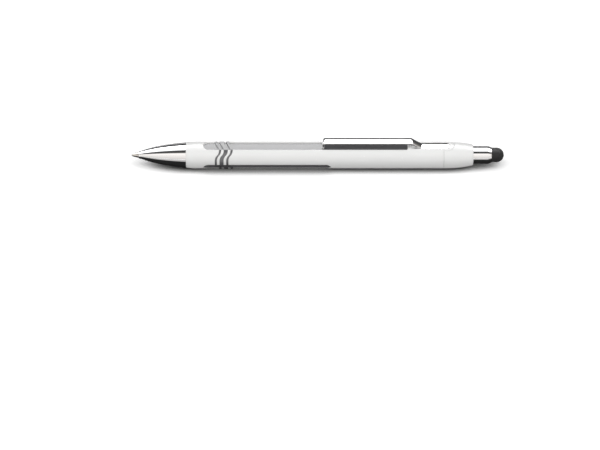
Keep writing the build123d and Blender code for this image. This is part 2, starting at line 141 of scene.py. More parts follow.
class PenBarrelSizes(bpy.types.PropertyGroup):
    """Sizes of the white mouldings and of the inlay."""
    front_radius: length("Front radius", 4.95, "Barrel's radius at its front edge")
    shoulder: length("Shoulder", 3.6, "Length over which the front edge rounds out to the barrel")
    bore: length("Bore", 3.3, "Radius of the barrel's inside")
    socket: length("Socket", 3.48, "Radius of the front socket that takes the nose")
    socket_gap: length("Socket gap", 0.1, "Room behind the nose's spigot")
    rear_bore: length("Rear bore", 3.58, "Radius of the bore round the button")
    neck_radius: length("Neck radius", 4.38, "Radius of the neck that carries the end cap")
    cam_flange: length("Cam flange", 0.8, "Length of the cam sleeve's flange in the rear bore")
    channel_width: length("Channel width", 4.4, "Width of each long channel")
    channel_corner: length("Channel corner", 2.0, "Corner radius of the channels' round ends")
    end_corner: length("End corner", 0.5, "Corner radius where the clip's channel and recess meet")
    channel_floor: length("Channel floor", 4.24, "Height of the channels' flat floor over the axis")
    side_channel: length("Side channels", 49.7, "Length of the two channels beside the clip")
    inlay_thickness: length("Inlay thickness", 0.36, "Thickness of the grey strips")
    channel_draft: length("Channel draft", 0.25, "How far the clip channel's walls lean out")
    strip_dish: length("Strip dish", 1.2, "Radius by which the clip's strip rises at its rim")
    side_dish: length("Side strip dish", 0.32, "Radius by which the other strips rise at their rims")
    band_depth: length("Band depth", 0.4, "How deep the wavy bands are let into the white faces")
    band_rise: length("Band rise", 1.7, "How far a band swings along the pen")
    band_fall: FloatProperty(
        name="Band fall", description="Share of a white face over which a band swings",
        default=0.72, min=0.2, max=1.0, subtype="FACTOR")
    cap_back_radius: length("Cap end radius", 4.1, "Radius of the end cap at its rear")
    cap_straight: length("Cap straight", 1.5, "Straight part of the end cap behind the parting line")
    cap_bevel: length("Cap bevel", 0.25, "Bevel round the end cap's rear edge")
    cap_bore: length("Cap bore", 3.51, "Radius of the hole that the button slides in")
    parting_gap: length("Parting gap", 0.05, "Width of the parting line between barrel and end cap")
    tongue_width: length("Tongue width", 4.9, "Width of the barrel's tongue under the clip root")
    tongue_past_clip: length("Tongue past clip", 1.9, "How far the tongue reaches behind the clip")


class PenMetalSizes(bpy.types.PropertyGroup):
    """Sizes of the plated nose, clip and button, of the dome, the refill's point and the spring."""
    rim_radius: length("Rim radius", 1.36, "Radius of the nose's front rim")
    bevel_radius: length("Bevel radius", 1.6, "Radius behind the nose's front bevel")
    bevel_length: length("Bevel length", 1.1, "Length of the nose's front bevel")
    nose_back_radius: length("Nose radius", 4.87, "Radius of the nose where it meets the barrel")
    nose_hole: length("Nose hole", 1.11, "Radius of the hole that the point comes out of")
    spring_pocket: length("Spring pocket", 2.17, "Radius of the spring's pocket in the nose")
    spring_seat: length("Spring seat", 5.4, "Depth of the spring's seat behind the nose's rim")
    spigot_bore: length("Spigot bore", 2.47, "Radius inside the nose's spigot")
    spigot_core: length("Spigot core", 3.14, "Radius of the spigot under its thread")
    ear_room: length("Ear room", 0.85, "How far the spigot's bore reaches ahead of the barrel")
    thread_pitch: length("Thread pitch", 0.75, "Pitch of the nose's thread")
    thread_radius: length("Thread ridge", 0.16, "Half width of the thread's ridge")
    clip_width: length("Clip width", 3.3, "Width of the clip's strip")
    clip_thickness: length("Clip thickness", 0.9, "Thickness of the clip's strip")
    clip_edge: length("Clip edge", 0.22, "Rounding of the clip's long edges")
    clip_crown: length("Clip crown", 8.0, "Radius of the clip's slightly domed face")
    clip_root_top: length("Clip root top", 5.0, "Height of the clip root's face over the axis")
    clip_gap: length("Clip gap", 0.12, "Gap round the clip root in its recess")
    clip_lip_bend: length("Lip bend", 0.9, "Bend radius at the clip's lip")
    clip_step_bend: length("Step bend", 1.2, "Bend radius at both ends of the clip's step")
    clip_step: length("Clip step", 3.9, "Length of the clip's step down to its root")
    recess_lead: length("Recess lead", 0.5, "How far the clip's recess starts ahead of its step")
    clip_bend_run: length("Bend run", 0.5, "Flat run between the step and the bend at the root")
    tang_offset: length("Tang offset", 1.2, "Distance of the tang behind the bend")
    tang_length: length("Tang length", 1.2, "Length of the tang along the pen")
    tang_width: length("Tang width", 1.6, "Width of the tang")
    tang_bottom: length("Tang bottom", 2.93, "Height of the tang's lower end over the axis")
    button_wall: length("Button wall", 0.4, "Wall of the button's tube")
    button_chamfer: length("Button chamfer", 1.4, "Length of the button's drawn-in end")
    button_end_radius: length("Button end", 3.0, "Radius at the button's end")
    button_lip: length("Button lip", 1.3, "Length of the lip that holds the dome")
    dome_radius: length("Dome radius", 2.85, "Radius of the touch dome")
    dome_wall: length("Dome wall", 0.8, "Wall of the hollow dome")
    dome_neck: length("Dome neck", 2.4, "Radius of the dome's neck inside the button's lip")
    dome_flange: length("Dome flange", 1.0, "Length of the dome's flange inside the button")
    ball_radius: length("Ball radius", 0.5, "Radius of the writing ball")
    socket_lip: length("Socket lip", 0.55, "Radius of the point's lip round the ball")
    point_cone: length("Point cone", 2.0, "Length of the point's cone")
    shank_radius: length("Shank radius", 0.6, "Radius of the point's shank in its holder")
    shank: length("Shank", 5.0, "Length of the point's shank")
    spring_wire: length("Spring wire", 0.4, "Diameter of the return spring's wire")
    spring_end_pitch: length("End pitch", 0.95, "Pitch of the spring's closed end turns")
    spring_turns: IntProperty(
        name="Spring turns", description="Turns of the return spring", default=9, min=3)


class PenFinishes(bpy.types.PropertyGroup):
    """Colours of the pen's finishes, as sRGB hex values."""
    white: StringProperty(name="White", description="Barrel and end cap", default="#EEEEED")
    inlay: StringProperty(name="Inlay", description="Strips and wavy bands", default="#5E5E60")
    chrome: StringProperty(name="Chrome", description="Nose, clip and button", default="#E6E6E7")
    rubber: StringProperty(name="Rubber", description="Touch dome", default="#171718")
    point: StringProperty(name="Point", description="Refill's metal point", default="#CBC8C3")
    steel: StringProperty(name="Steel", description="Spring and ball", default="#B9BABD")
    acetal: StringProperty(name="Acetal", description="Click mechanism", default="#E2E1DB")
    refill: StringProperty(name="Refill", description="Refill's tube and holder", default="#DADDE0")
    ink: StringProperty(name="Ink", description="Ink in the refill", default="#10132F")
    grease: StringProperty(name="Grease", description="Follower behind the ink", default="#CFC9AB")


class PenStage(bpy.types.PropertyGroup):
    """The studio round the pen."""
    elevation: FloatProperty(
        name="Elevation", description="Height of the view over the table",
        default=math.radians(43.1), subtype="ANGLE")
    lens: FloatProperty(name="Lens", description="Focal length in millimetres", default=200.0)
    frame_width: length("Frame width", 233.7, "Width of the picture at the pen")
    aim_left: length("Aim left", 6.87, "How far the picture's centre lies to the left of the pen's")
    aim_below: length("Aim below", 27.3, "How far the picture's centre lies below the pen's")
    light: FloatProperty(name="Light", description="Strength of the overhead softbox", default=2.0)
    hot_edge: FloatProperty(name="Hot edge", description="Brightness of the mirrored softbox", default=6.0)
    floor_gain: FloatProperty(name="Paper gain", description="Whitens the table as background", default=1.85)
    # Reach of the ambient occlusion that paints shade into the table's colour round the pen
    painted_shade_reach: length("Contact", 15.0, "Reach of the deeper shade where the pen rests")
    end_wall: StringProperty(name="End wall", description="Walls past the pen's ends", default="#97938E")
    floor: StringProperty(name="Floor", description="Colour of the studio table", default="#D2D2D2")
    # The dark card is a painted dark reflection that only the plating mirrors under and behind the pen; the
    # pale card is what it mirrors in front
    flag: StringProperty(name="Card, dark", description="The card under the pen", default="#2A2A2A")
    card: StringProperty(name="Card, pale", description="The card in front of the pen", default="#D4D2D0")
    fill_light: StringProperty(name="Fill", description="Tint of the front fill", default="#FFFBF7")


def barrel_sizes():
    """The settings of the white mouldings and of the inlay."""
    return bpy.context.scene.pen_barrel


def metal_sizes():
    """The settings of the plated pieces, the dome, the point and the spring."""
    return bpy.context.scene.pen_metal


# Mesh helpers: shapes are made about the pen's axis, then moved on to the frame

def placed(name, mesh, material):
    """Puts a mesh made about the pen's axis on the frame, smooth with crisp corners."""
    mesh.transform(Matrix.Translation(AXIS))
    return plain(name, mesh, material)


def plain(name, mesh, material):
    """Makes an object of a mesh that is already in place."""
    mesh.name = name
    mesh.polygons.foreach_set("use_smooth", [True] * len(mesh.polygons))
    mesh.set_sharp_from_angle(angle=SHARP_ANGLE)
    mesh.materials.clear()
    mesh.materials.append(material)
    piece = bpy.data.objects.new(name, mesh)
    bpy.context.scene.collection.objects.link(piece)
    return piece


def closed_mesh(name, points, faces):
    """A closed mesh with doubles merged and faces pointing outwards."""
    mesh = bpy.data.meshes.new(name)
    mesh.from_pydata(points, [], faces)
    shape = bmesh.new()
    shape.from_mesh(mesh)
    bmesh.ops.remove_doubles(shape, verts=shape.verts, dist=MERGE_DISTANCE)
    bmesh.ops.recalc_face_normals(shape, faces=shape.faces)
    shape.to_mesh(mesh)
    shape.free()
    return mesh


def rounded(corners, steps=FILLET_STEPS):
    """A closed outline from corners (x, r, rounding), with each rounding as an arc."""
    outline = []
    for index, (x, y, rounding) in enumerate(corners):
        corner = Vector((x, y))
        if rounding <= 0:
            outline.append((x, y))
            continue
        before = (Vector(corners[index - 1][:2]) - corner).normalized()
        after = (Vector(corners[(index + 1) % len(corners)][:2]) - corner).normalized()
        half = before.angle(after) / 2
        centre = corner + (before + after).normalized() * rounding / math.sin(half)
        start = corner + before * rounding / math.tan(half) - centre
        turn = start.angle_signed(corner + after * rounding / math.tan(half) - centre)
        for step in range(steps + 1):
            spoke = start.copy()
            spoke.rotate(Matrix.Rotation(-turn * step / steps, 2))
            outline.append(tuple(centre + spoke))
    return outline


def ring_faces(rings, count, closed=False):
    """Faces between rings of equally many points: closed on the first ring, or capped at both ends."""
    faces = []
    if not closed:
        faces = [tuple(range(count)), tuple((rings - 1) * count + side for side in range(count))]
    for ring in range(rings if closed else rings - 1):
        following = (ring + 1) % rings
        for side in range(count):
            beside = (side + 1) % count
            faces.append((
                ring * count + side, ring * count + beside,
                following * count + beside, following * count + side))
    return faces


def lathe(name, outline, steps=LATHE_STEPS):
    """A closed outline of stations and radii, turned round the pen's axis."""
    turns = [2 * math.pi * step / steps for step in range(steps)]
    points = [
        (x, radius * math.cos(turn), radius * math.sin(turn))
        for x, radius in outline for turn in turns
    ]
    return without_slivers(closed_mesh(name, points, ring_faces(len(outline), steps, closed=True)))


def without_slivers(mesh):
    """Removes faces that a turned outline leaves flat on the axis."""
    shape = bmesh.new()
    shape.from_mesh(mesh)
    bmesh.ops.dissolve_degenerate(shape, dist=MERGE_DISTANCE, edges=shape.edges)
    flat = [face for face in shape.faces if face.calc_area() < FLAT_AREA]
    bmesh.ops.delete(shape, geom=flat, context="FACES")
    bmesh.ops.recalc_face_normals(shape, faces=shape.faces)
    shape.to_mesh(mesh)
    shape.free()
    return mesh


def stacked(name, *bars, roll=0.0):
    """A closed mesh of bars, each through rings of equally many points, rolled round the pen."""
    points, faces = [], []
    for rings in bars:
        offset = len(points)
        points += [spot for ring in rings for spot in ring]
        for face in ring_faces(len(rings), len(rings[0])):
            faces.append(tuple(offset + corner for corner in face))
    mesh = closed_mesh(name, points, faces)
    mesh.transform(Matrix.Rotation(roll, 4, "X"))
    return mesh


def level_ring(plan, height):
    """A plan's points at a height over the axis."""
    return [(x, y, height) for x, y in plan]


def prism(name, plan, bottom, top):
    """A plan of (x, y) points raised between two heights."""
    return stacked(name, [level_ring(plan, bottom), level_ring(plan, top)])


def plank(start, end, width, front_corner, back_corner, steps=BEND_STEPS):
    """The plan of a strip over the pen's axis, with rounded corners."""
    half = width / 2
    return rounded([
        (start, -half, front_corner), (end, -half, back_corner),
        (end, half, back_corner), (start, half, front_corner)], steps)


def carved(mesh, cutters, operation="DIFFERENCE"):
    """A mesh with others cut from it or joined to it."""
    base = bpy.data.objects.new("carving", mesh)
    bpy.context.scene.collection.objects.link(base)
    tools = []
    for cutter in cutters:
        tool = bpy.data.objects.new("cutter", cutter)
        bpy.context.scene.collection.objects.link(tool)
        tools.append(tool)
        cut = base.modifiers.new("cut", "BOOLEAN")
        cut.operation = operation
        cut.solver = "EXACT"
        cut.object = tool
    result = baked(base)
    for helper in [base] + tools:
        bpy.data.objects.remove(helper)
    return result


def baked(piece):
    """A plain mesh of an object with its modifiers."""
    graph = bpy.context.evaluated_depsgraph_get()
    graph.update()
    return bpy.data.meshes.new_from_object(piece.evaluated_get(graph))


# Node trees, for shapes that are wound or repeated and for the finishes

def add(tree, kind, inputs=None, **settings):
    """Adds a node with its settings, its values and its links."""
    made = tree.nodes.new(kind)
    for name, value in settings.items():
        setattr(made, name, value)
    for name, value in (inputs or {}).items():
        socket = made.inputs[name]
        if isinstance(value, bpy.types.NodeSocket):
            tree.links.new(value, socket)
        else:
            socket.default_value = value
    return made


def tree_with(name, sockets):
    """A Geometry Nodes tree with named inputs, and the identifier of each."""
    tree = bpy.data.node_groups.new(name, "GeometryNodeTree")
    keys = {}
    for label, kind in sockets:
        keys[label] = tree.interface.new_socket(label, in_out="INPUT", socket_type=kind).identifier
    tree.interface.new_socket("Geometry", in_out="OUTPUT", socket_type="NodeSocketGeometry")
    return tree, keys


def grown(name, tree, keys, values, mesh=None):
    """Runs a tree on a mesh and returns what it makes as a plain mesh."""
    holder = bpy.data.objects.new(name, mesh or bpy.data.meshes.new(name))
    bpy.context.scene.collection.objects.link(holder)
    modifier = holder.modifiers.new(name, "NODES")
    modifier.node_group = tree
    for label, value in values.items():
        modifier[keys[label]] = value
    result = baked(holder)
    bpy.data.objects.remove(holder)
    return result


def finish_tree(tree, geometry, material):
    """Ends a tree with real geometry in its material."""
    real = add(tree, "GeometryNodeRealizeInstances", {"Geometry": geometry})
    dressed = add(tree, "GeometryNodeSetMaterial", {"Geometry": real.outputs[0], "Material": material})
    add(tree, "NodeGroupOutput", {"Geometry": dressed.outputs[0]})


def coil_tree():
    """A wire wound round the pen, with its own pitch for the first and the last turn."""
    tree, keys = tree_with("wound wire", [
        ("Turns", "NodeSocketInt"), ("Start", "NodeSocketFloat"), ("End Pitch", "NodeSocketFloat"),
        ("Pitch", "NodeSocketFloat"), ("Radius", "NodeSocketFloat"), ("Wire", "NodeSocketFloat"),
        ("Steps", "NodeSocketInt"), ("Sides", "NodeSocketInt"), ("Material", "NodeSocketMaterial")])
    asked = add(tree, "NodeGroupInput").outputs
    # Each row is a sum by name, from inputs, rows above it and plain numbers.
    sums = (
        ("last index", "MULTIPLY", "Turns", "Steps"),
        ("count", "ADD", "last index", 1.0),
        ("turn", "DIVIDE", "index", "Steps"),
        ("last start", "SUBTRACT", "Turns", 1.0),
        ("first turn", "MINIMUM", "turn", 1.0),
        ("first run", "MULTIPLY", "first turn", "End Pitch"),
        ("before last", "MINIMUM", "turn", "last start"),
        ("past first", "MAXIMUM", "before last", 1.0),
        ("inner turns", "SUBTRACT", "past first", 1.0),
        ("inner run", "MULTIPLY", "inner turns", "Pitch"),
        ("past inner", "SUBTRACT", "turn", "last start"),
        ("last turn", "MAXIMUM", "past inner", 0.0),
        ("last run", "MULTIPLY", "last turn", "End Pitch"),
        ("front runs", "ADD", "first run", "inner run"),
        ("reach", "ADD", "front runs", "last run"),
        ("angle", "MULTIPLY", "turn", 2 * math.pi),
        ("cosine", "COSINE", "angle", 0.0),
        ("sine", "SINE", "angle", 0.0),
        ("along", "ADD", "reach", "Start"),
        ("across", "MULTIPLY", "cosine", "Radius"),
        ("up", "MULTIPLY", "sine", "Radius"),
    )
    known = dict(asked.items())
    known["index"] = add(tree, "GeometryNodeInputIndex").outputs[0]
    for label, operation, first, second in sums:
        made = add(tree, "ShaderNodeMath", {
            0: known.get(first, first), 1: known.get(second, second)}, operation=operation)
        known[label] = made.outputs[0]
    line = add(tree, "GeometryNodeMeshLine", {"Count": known["count"]})
    spot = add(tree, "ShaderNodeCombineXYZ", {
        "X": known["along"], "Y": known["across"], "Z": known["up"]})
    wound = add(tree, "GeometryNodeSetPosition", {
        "Geometry": line.outputs[0], "Position": spot.outputs[0]})
    route = add(tree, "GeometryNodeMeshToCurve", {"Mesh": wound.outputs[0]})
    section = add(tree, "GeometryNodeCurvePrimitiveCircle", {
        "Resolution": asked["Sides"], "Radius": asked["Wire"]})
    wire = add(tree, "GeometryNodeCurveToMesh", {
        "Curve": route.outputs[0], "Profile Curve": section.outputs[0], "Fill Caps": True})
    finish_tree(tree, wire.outputs[0], asked["Material"])
    return tree, keys


def rolled_tree():
    """Copies of a shape in even steps round the pen's axis."""
    tree, keys = tree_with("rolled copies", [
        ("Geometry", "NodeSocketGeometry"), ("Copies", "NodeSocketInt"),
        ("Material", "NodeSocketMaterial")])
    asked = add(tree, "NodeGroupInput").outputs
    spots = add(tree, "GeometryNodeMeshLine", {"Count": asked["Copies"], "Offset": (0, 0, 0)})
    index = add(tree, "GeometryNodeInputIndex")
    step = add(tree, "ShaderNodeMath", {0: 2 * math.pi, 1: asked["Copies"]}, operation="DIVIDE")
    roll = add(tree, "ShaderNodeMath", {0: index.outputs[0], 1: step.outputs[0]}, operation="MULTIPLY")
    turn = add(tree, "ShaderNodeCombineXYZ", {"X": roll.outputs[0]})
    copies = add(tree, "GeometryNodeInstanceOnPoints", {
        "Points": spots.outputs[0], "Instance": asked["Geometry"], "Rotation": turn.outputs[0]})
    finish_tree(tree, copies.outputs[0], asked["Material"])
    return tree, keys


# Finishes. A grain is noise on the piece's own coordinates: the size of its spots in millimetres, its
# detail, and how it is drawn out along X, Y and Z. Tint, gloss and relief each follow a grain.
Grain = namedtuple("Grain", "size_mm detail stretch", defaults=(2.0, (1, 1, 1)))
Spread = namedtuple("Spread", "grain low high")
Relief = namedtuple("Relief", "grain depth_mm strength edge_mm", defaults=(1.0, 0.0))
EDGE_SAMPLES = 6
# Length over which the inlay turns matt as it runs under the clip
MATT_FADE = 1.5 * MM


def linear(hex_value):
    """An sRGB hex value as linear red, green, blue and alpha."""
    shares = [int(hex_value[place:place + 2], 16) / 255 for place in (1, 3, 5)]
    return [
        share / 12.92 if share <= 0.04045 else ((share + 0.055) / 1.055) ** 2.4
        for share in shares
    ] + [1.0]


def shaded(hex_value, share):
    """A hex value's linear colour, made darker or lighter by a share."""
    return [channel * share for channel in linear(hex_value)[:3]] + [1.0]


def surface(name, settings):
    """A new material, its node tree and its shader's inputs, with the constant values set."""
    material = bpy.data.materials.new(name)
    material.use_nodes = True
    shader = material.node_tree.nodes["Principled BSDF"].inputs
    for label, value in settings.items():
        shader[label].default_value = value
    return material, material.node_tree, shader


def finish(name, colour, settings, tint, gloss, relief=None):
    """A material whose shade, roughness and fine relief each follow a grain of a real size."""
    material, tree, shader = surface(name, settings)
    spot = add(tree, "ShaderNodeTexCoord").outputs["Object"]
    noise = {}
    for part in (tint, gloss, relief):
        if part is None or part.grain in noise:
            continue
        size_mm, detail, stretch = part.grain
        drawn = add(tree, "ShaderNodeMapping", {"Vector": spot, "Scale": stretch})
        noise[part.grain] = add(tree, "ShaderNodeTexNoise", {
            "Vector": drawn.outputs[0], "Scale": 1 / (size_mm * MM), "Detail": detail}).outputs["Fac"]
    shade = add(tree, "ShaderNodeMix", {
        0: noise[tint.grain], 6: shaded(colour, tint.low), 7: shaded(colour, tint.high)},
        data_type="RGBA")
    rough = add(tree, "ShaderNodeMapRange", {
        "Value": noise[gloss.grain], "To Min": gloss.low, "To Max": gloss.high})
    tree.links.new(shade.outputs[2], shader["Base Color"])
    tree.links.new(rough.outputs[0], shader["Roughness"])
    if relief:
        bump = add(tree, "ShaderNodeBump", {
            "Height": noise[relief.grain], "Distance": relief.depth_mm * MM,
            "Strength": relief.strength})
        if relief.edge_mm:
            edge = add(tree, "ShaderNodeBevel", {"Radius": relief.edge_mm * MM}, samples=EDGE_SAMPLES)
            tree.links.new(edge.outputs[0], bump.inputs["Normal"])
        tree.links.new(bump.outputs[0], shader["Normal"])
    return material


def polished_abs(colours):
    """White ABS from a polished mould: bright gloss, with faint flow marks along the pen."""
    return finish(
        "polished_white_abs", colours.white, {"IOR": 1.53},
        tint=Spread(Grain(6.0, stretch=(0.25, 1, 1)), 0.975, 1.01),
        gloss=Spread(Grain(1.8), 0.2, 0.3),
        relief=Relief(Grain(1.1), 0.004, edge_mm=0.34))


def moulded_inlay(colours):
    """Dark grey ABS second shot: smooth, so it mirrors the light over the pen, and matt under the clip."""
    material = finish(
        "smooth_grey_abs_inlay", colours.inlay, {"IOR": 1.6, "Specular IOR Level": 0.75},
        tint=Spread(Grain(2.5), 0.92, 1.06),
        gloss=Spread(Grain(0.9), 0.2, 0.28),
        relief=Relief(Grain(0.5), 0.003, edge_mm=0.08))
    tree = material.node_tree
    rough = tree.nodes["Principled BSDF"].inputs["Roughness"]
    place = add(tree, "ShaderNodeTexCoord")
    spot = add(tree, "ShaderNodeSeparateXYZ", {"Vector": place.outputs["Object"]}).outputs
    clip_start = AXIS.x + CLIP_FRONT
    along = add(tree, "ShaderNodeMapRange", {
        "Value": spot["X"], "From Min": clip_start, "From Max": clip_start + MATT_FADE})
    above = add(tree, "ShaderNodeMath", {0: spot["Z"], 1: AXIS.z}, operation="GREATER_THAN")
    covered = add(tree, "ShaderNodeMath", {
        0: along.outputs[0], 1: above.outputs[0]}, operation="MULTIPLY")
    matt = add(tree, "ShaderNodeMix", {0: covered.outputs[0], 2: rough.links[0].from_socket, 3: 1.0})
    tree.links.new(matt.outputs[0], rough)
    return material


def chrome_plate(colours):
    """Bright chromium plate on a polished base: mirror sharp, with the base's faint ripple."""
    return finish(
        "bright_chrome_plate", colours.chrome, {"Metallic": 1.0},
        tint=Spread(Grain(4.0), 0.97, 1.0),
        gloss=Spread(Grain(1.2), 0.045, 0.09),
        relief=Relief(Grain(2.2, 1.0), 0.0025, edge_mm=0.1))


def conductive_rubber(colours):
    """Carbon-filled silicone rubber: black, dull, with a fine moulded tooth and a little dust."""
    # The moulded tooth is about 0.05 mm; it is drawn at 0.2 mm so that it shows.
    return finish(
        "carbon_silicone_rubber", colours.rubber, {"IOR": 1.42, "Sheen Weight": 0.15},
        tint=Spread(Grain(0.7, 4.0), 0.75, 1.3),
        gloss=Spread(Grain(0.4), 0.5, 0.66),
        relief=Relief(Grain(0.2, 3.0), 0.02, 0.6))


def turned_metal(name, colour, roughness):
    """Metal turned or drawn bright: fine rings along the pen, softer than plate."""
    # Tool marks are about 0.03 mm apart; they are drawn at 0.1 mm so that they show.
    rings = Grain(0.1, 1.0, (1, 0.02, 0.02))
    return finish(
        name, colour, {"Metallic": 1.0},
        tint=Spread(Grain(0.8), 0.92, 1.04),
        gloss=Spread(rings, roughness * 0.75, roughness * 1.25),
        relief=Relief(rings, 0.004, 0.5))


def nickel_silver(colours):
    """Nickel silver as turned for the refill's point: warm grey, with a soft shine."""
    return turned_metal("turned_nickel_silver", colours.point, 0.24)


def drawn_steel(colours):
    """Steel as drawn for the spring and ground for the ball: cool grey and bright."""
    return turned_metal("bright_drawn_steel", colours.steel, 0.2)


def moulded_acetal(colours):
    """Natural acetal: waxy off-white, slightly see-through at thin edges."""
    return finish(
        "natural_acetal", colours.acetal,
        {"IOR": 1.48, "Subsurface Weight": 0.2, "Subsurface Scale": 0.4 * MM},
        tint=Spread(Grain(1.5), 0.96, 1.02),
        gloss=Spread(Grain(0.6), 0.36, 0.48),
        relief=Relief(Grain(0.3), 0.004))


def drawn_polypropylene(colours):
    """Extruded polypropylene tube: milky, with draw lines along it."""
    lines = Grain(0.35, stretch=(0.05, 1, 1))
    return finish(
        "milky_polypropylene", colours.refill,
        {"IOR": 1.49, "Subsurface Weight": 0.35, "Subsurface Scale": 0.6 * MM},
        tint=Spread(lines, 0.95, 1.03),
        gloss=Spread(lines, 0.28, 0.42),
        relief=Relief(lines, 0.003))


def wet_fill(name, colour, roughness):
    """Ink or grease in the tube: wet and smooth, with slow streaks."""
    streaks = Grain(1.2, stretch=(0.2, 1, 1))
    return finish(
        name, colour, {"IOR": 1.46},
        tint=Spread(streaks, 0.8, 1.1),
        gloss=Spread(streaks, roughness * 0.7, roughness * 1.3))


def paste_ink(colours):
    """Ballpoint paste ink: blue-black and glossy."""
    return wet_fill("blue_black_ink", colours.ink, 0.14)


def clear_grease(colours):
    """Follower grease: pale amber, a little duller than the ink."""
    return wet_fill("clear_follower_grease", colours.grease, 0.2)


FINISH_MAKERS = {
    "white_shell": polished_abs,
    "grey_inlay": moulded_inlay,
    "chrome_plate": chrome_plate,
    "black_rubber": conductive_rubber,
    "point_metal": nickel_silver,
    "spring_steel": drawn_steel,
    "mechanism_plastic": moulded_acetal,
    "refill_plastic": drawn_polypropylene,
    "ink": paste_ink,
    "follower_grease": clear_grease,
}
made_finishes = {}


def slot_finish(slot):
    """The material of one of the record's slots, made once."""
    if slot not in made_finishes:
        made_finishes[slot] = FINISH_MAKERS[slot](bpy.context.scene.pen_finishes)
    return made_finishes[slot]


def settle(piece, body, slot, *nodes):
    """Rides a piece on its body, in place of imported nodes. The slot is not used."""
    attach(piece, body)
    if nodes:
        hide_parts(*nodes)


# Shapes. The bands' stations are measured from the barrel's front edge.
CHANNELS = 3
CHANNEL_STEP = 2 * math.pi / CHANNELS
BAND_STATIONS = (11.6 * MM, 13.82 * MM, 16.06 * MM)
BAND_WIDTHS = (0.8 * MM, 1.55 * MM, 0.84 * MM)
# Share of a channel's end corner that a strip's rim takes up
RIM_SHARE = 0.96
# Radius of a band's two arcs, in halves of its swing
SWING_RADIUS = 1.25
# How far a groove's cutter stands over the body, and runs into the channels, in radians
GROOVE_RISE = 0.5 * MM
GROOVE_OVERLAP = 0.03
# Half of the flat that is left at the tongue's round end
TONGUE_FLAT = 0.01 * MM
# The nose: how steeply its ogive starts and ends, its edges and its thread
OGIVE_FRONT_SLOPE, OGIVE_BACK_SLOPE = 0.37, 0.09
NOSE_EDGE = 0.08 * MM
NOSE_HOLE_EDGE = 0.06 * MM
SPIGOT_EDGE = 0.15 * MM
POCKET_TAPER = 0.3 * MM
THREAD_LIFT = 0.08 * MM
# The clip: share of its half width that an edge may round, and that its crown reaches
CLIP_EDGE_MOST = 0.9
CLIP_CROWN_REACH = 0.98
# The button and the dome: their edges, and the room between them
BUTTON_FRONT_EDGE = 0.1 * MM
BUTTON_SHOULDER = 0.5 * MM
BUTTON_REAR_EDGE = 0.12 * MM
BUTTON_LIP_EDGE = 0.05 * MM
DOME_NECK_PLAY = 0.1 * MM
DOME_FLANGE_PLAY = 0.02 * MM
DOME_EDGE, DOME_EDGE_MIDDLE = 0.12 * MM, 0.04 * MM
# The refill's point: radius of its passage, room round the ball, and its edges
INK_PASSAGE = 0.3 * MM
BALL_PLAY = 0.01 * MM
POINT_LIP_EDGE = 0.03 * MM
POINT_CONE_ROUNDING = 0.6 * MM
POINT_COLLAR_EDGE = 0.05 * MM


def channel_plan(index, inset=0.0):
    """The plan of a channel, or of the strip in it inside its rim."""
    sizes = barrel_sizes()
    back, back_corner = CLIP_CHANNEL_BACK, sizes.end_corner
    if index:
        back, back_corner = CHANNEL_FRONT + sizes.side_channel, sizes.channel_corner
    return plank(
        CHANNEL_FRONT + inset, back - inset, sizes.channel_width - 2 * inset,
        sizes.channel_corner - inset, back_corner - inset)


def channel_lean(index):
    """How far a channel's walls lean out: only the clip's channel has drafted walls."""
    return 0.0 if index else barrel_sizes().channel_draft


def channel_mesh(index):
    """The room of a channel, with its walls."""
    sizes = barrel_sizes()
    foot, lip = channel_plan(index, channel_lean(index)), channel_plan(index)
    lip_height = math.sqrt(BODY_RADIUS ** 2 - (sizes.channel_width / 2) ** 2)
    rings = [
        level_ring(foot, sizes.channel_floor - sizes.inlay_thickness),
        level_ring(foot, sizes.channel_floor),
        level_ring(lip, lip_height), level_ring(lip, 2 * BODY_RADIUS)]
    return stacked("channel", rings, roll=index * CHANNEL_STEP)


def strip_mesh(index):
    """A grey strip in its channel, with a gently dished face that rises at its rim."""
    sizes = barrel_sizes()
    lean = channel_lean(index)
    rim = (sizes.end_corner - lean) * RIM_SHARE
    dish = sizes.side_dish if index else sizes.strip_dish
    rings = [level_ring(channel_plan(index, lean), sizes.channel_floor - sizes.inlay_thickness)]
    for step in range(RIM_STEPS + 1):
        inset = rim * step / RIM_STEPS
        height = sizes.channel_floor + (rim - inset) ** 2 / (2 * dish)
        rings.append(level_ring(channel_plan(index, lean + inset), height))
    return stacked("strip", rings, roll=index * CHANNEL_STEP)


def swing(share):
    """The S-curve of a band, from nothing to its full rise, as two arcs that meet halfway."""
    half = 2 * min(share, 1 - share)
    depth = SWING_RADIUS - math.sqrt(SWING_RADIUS ** 2 - 1)
    arc = (SWING_RADIUS - math.sqrt(SWING_RADIUS ** 2 - half ** 2)) / depth
    return arc / 2 if share < 0.5 else 1 - arc / 2


def lip_angle():
    """The angle from a channel's middle to its lip."""
    return math.asin(barrel_sizes().channel_width / 2 / BODY_RADIUS)


def wave(angle):
    """How far a band has swung along the pen: straight across a channel, and back over a white face."""
    sizes = barrel_sizes()
    lip = lip_angle()
    if angle < lip:
        crossed = BODY_RADIUS * math.sin(angle) / sizes.channel_width + 0.5
        return sizes.band_rise * min(max(crossed, 0), 1)
    half_face = CHANNEL_STEP / 2 - lip
    across = math.sin(CHANNEL_STEP / 2 - angle) / math.sin(half_face)
    fallen = (1 - across) / 2 / sizes.band_fall
    return sizes.band_rise * (1 - swing(min(max(fallen, 0), 1)))


def band_rings(station, width, first, last, inner, outer, flat=False):
    """Rings of a bar that follows the wave between two angles, round as the body or flat as a floor."""
    rings = []
    for step in range(CURVE_STEPS + 1):
        angle = first + (last - first) * step / CURVE_STEPS
        left = BARREL_FRONT + station - width / 2 + wave(angle)
        ring = []
        for x, radius in ((left, inner), (left + width, inner), (left + width, outer), (left, outer)):
            reach = radius / math.cos(angle) if flat else radius
            ring.append((x, -reach * math.sin(angle), reach * math.cos(angle)))
        rings.append(ring)
    return rings


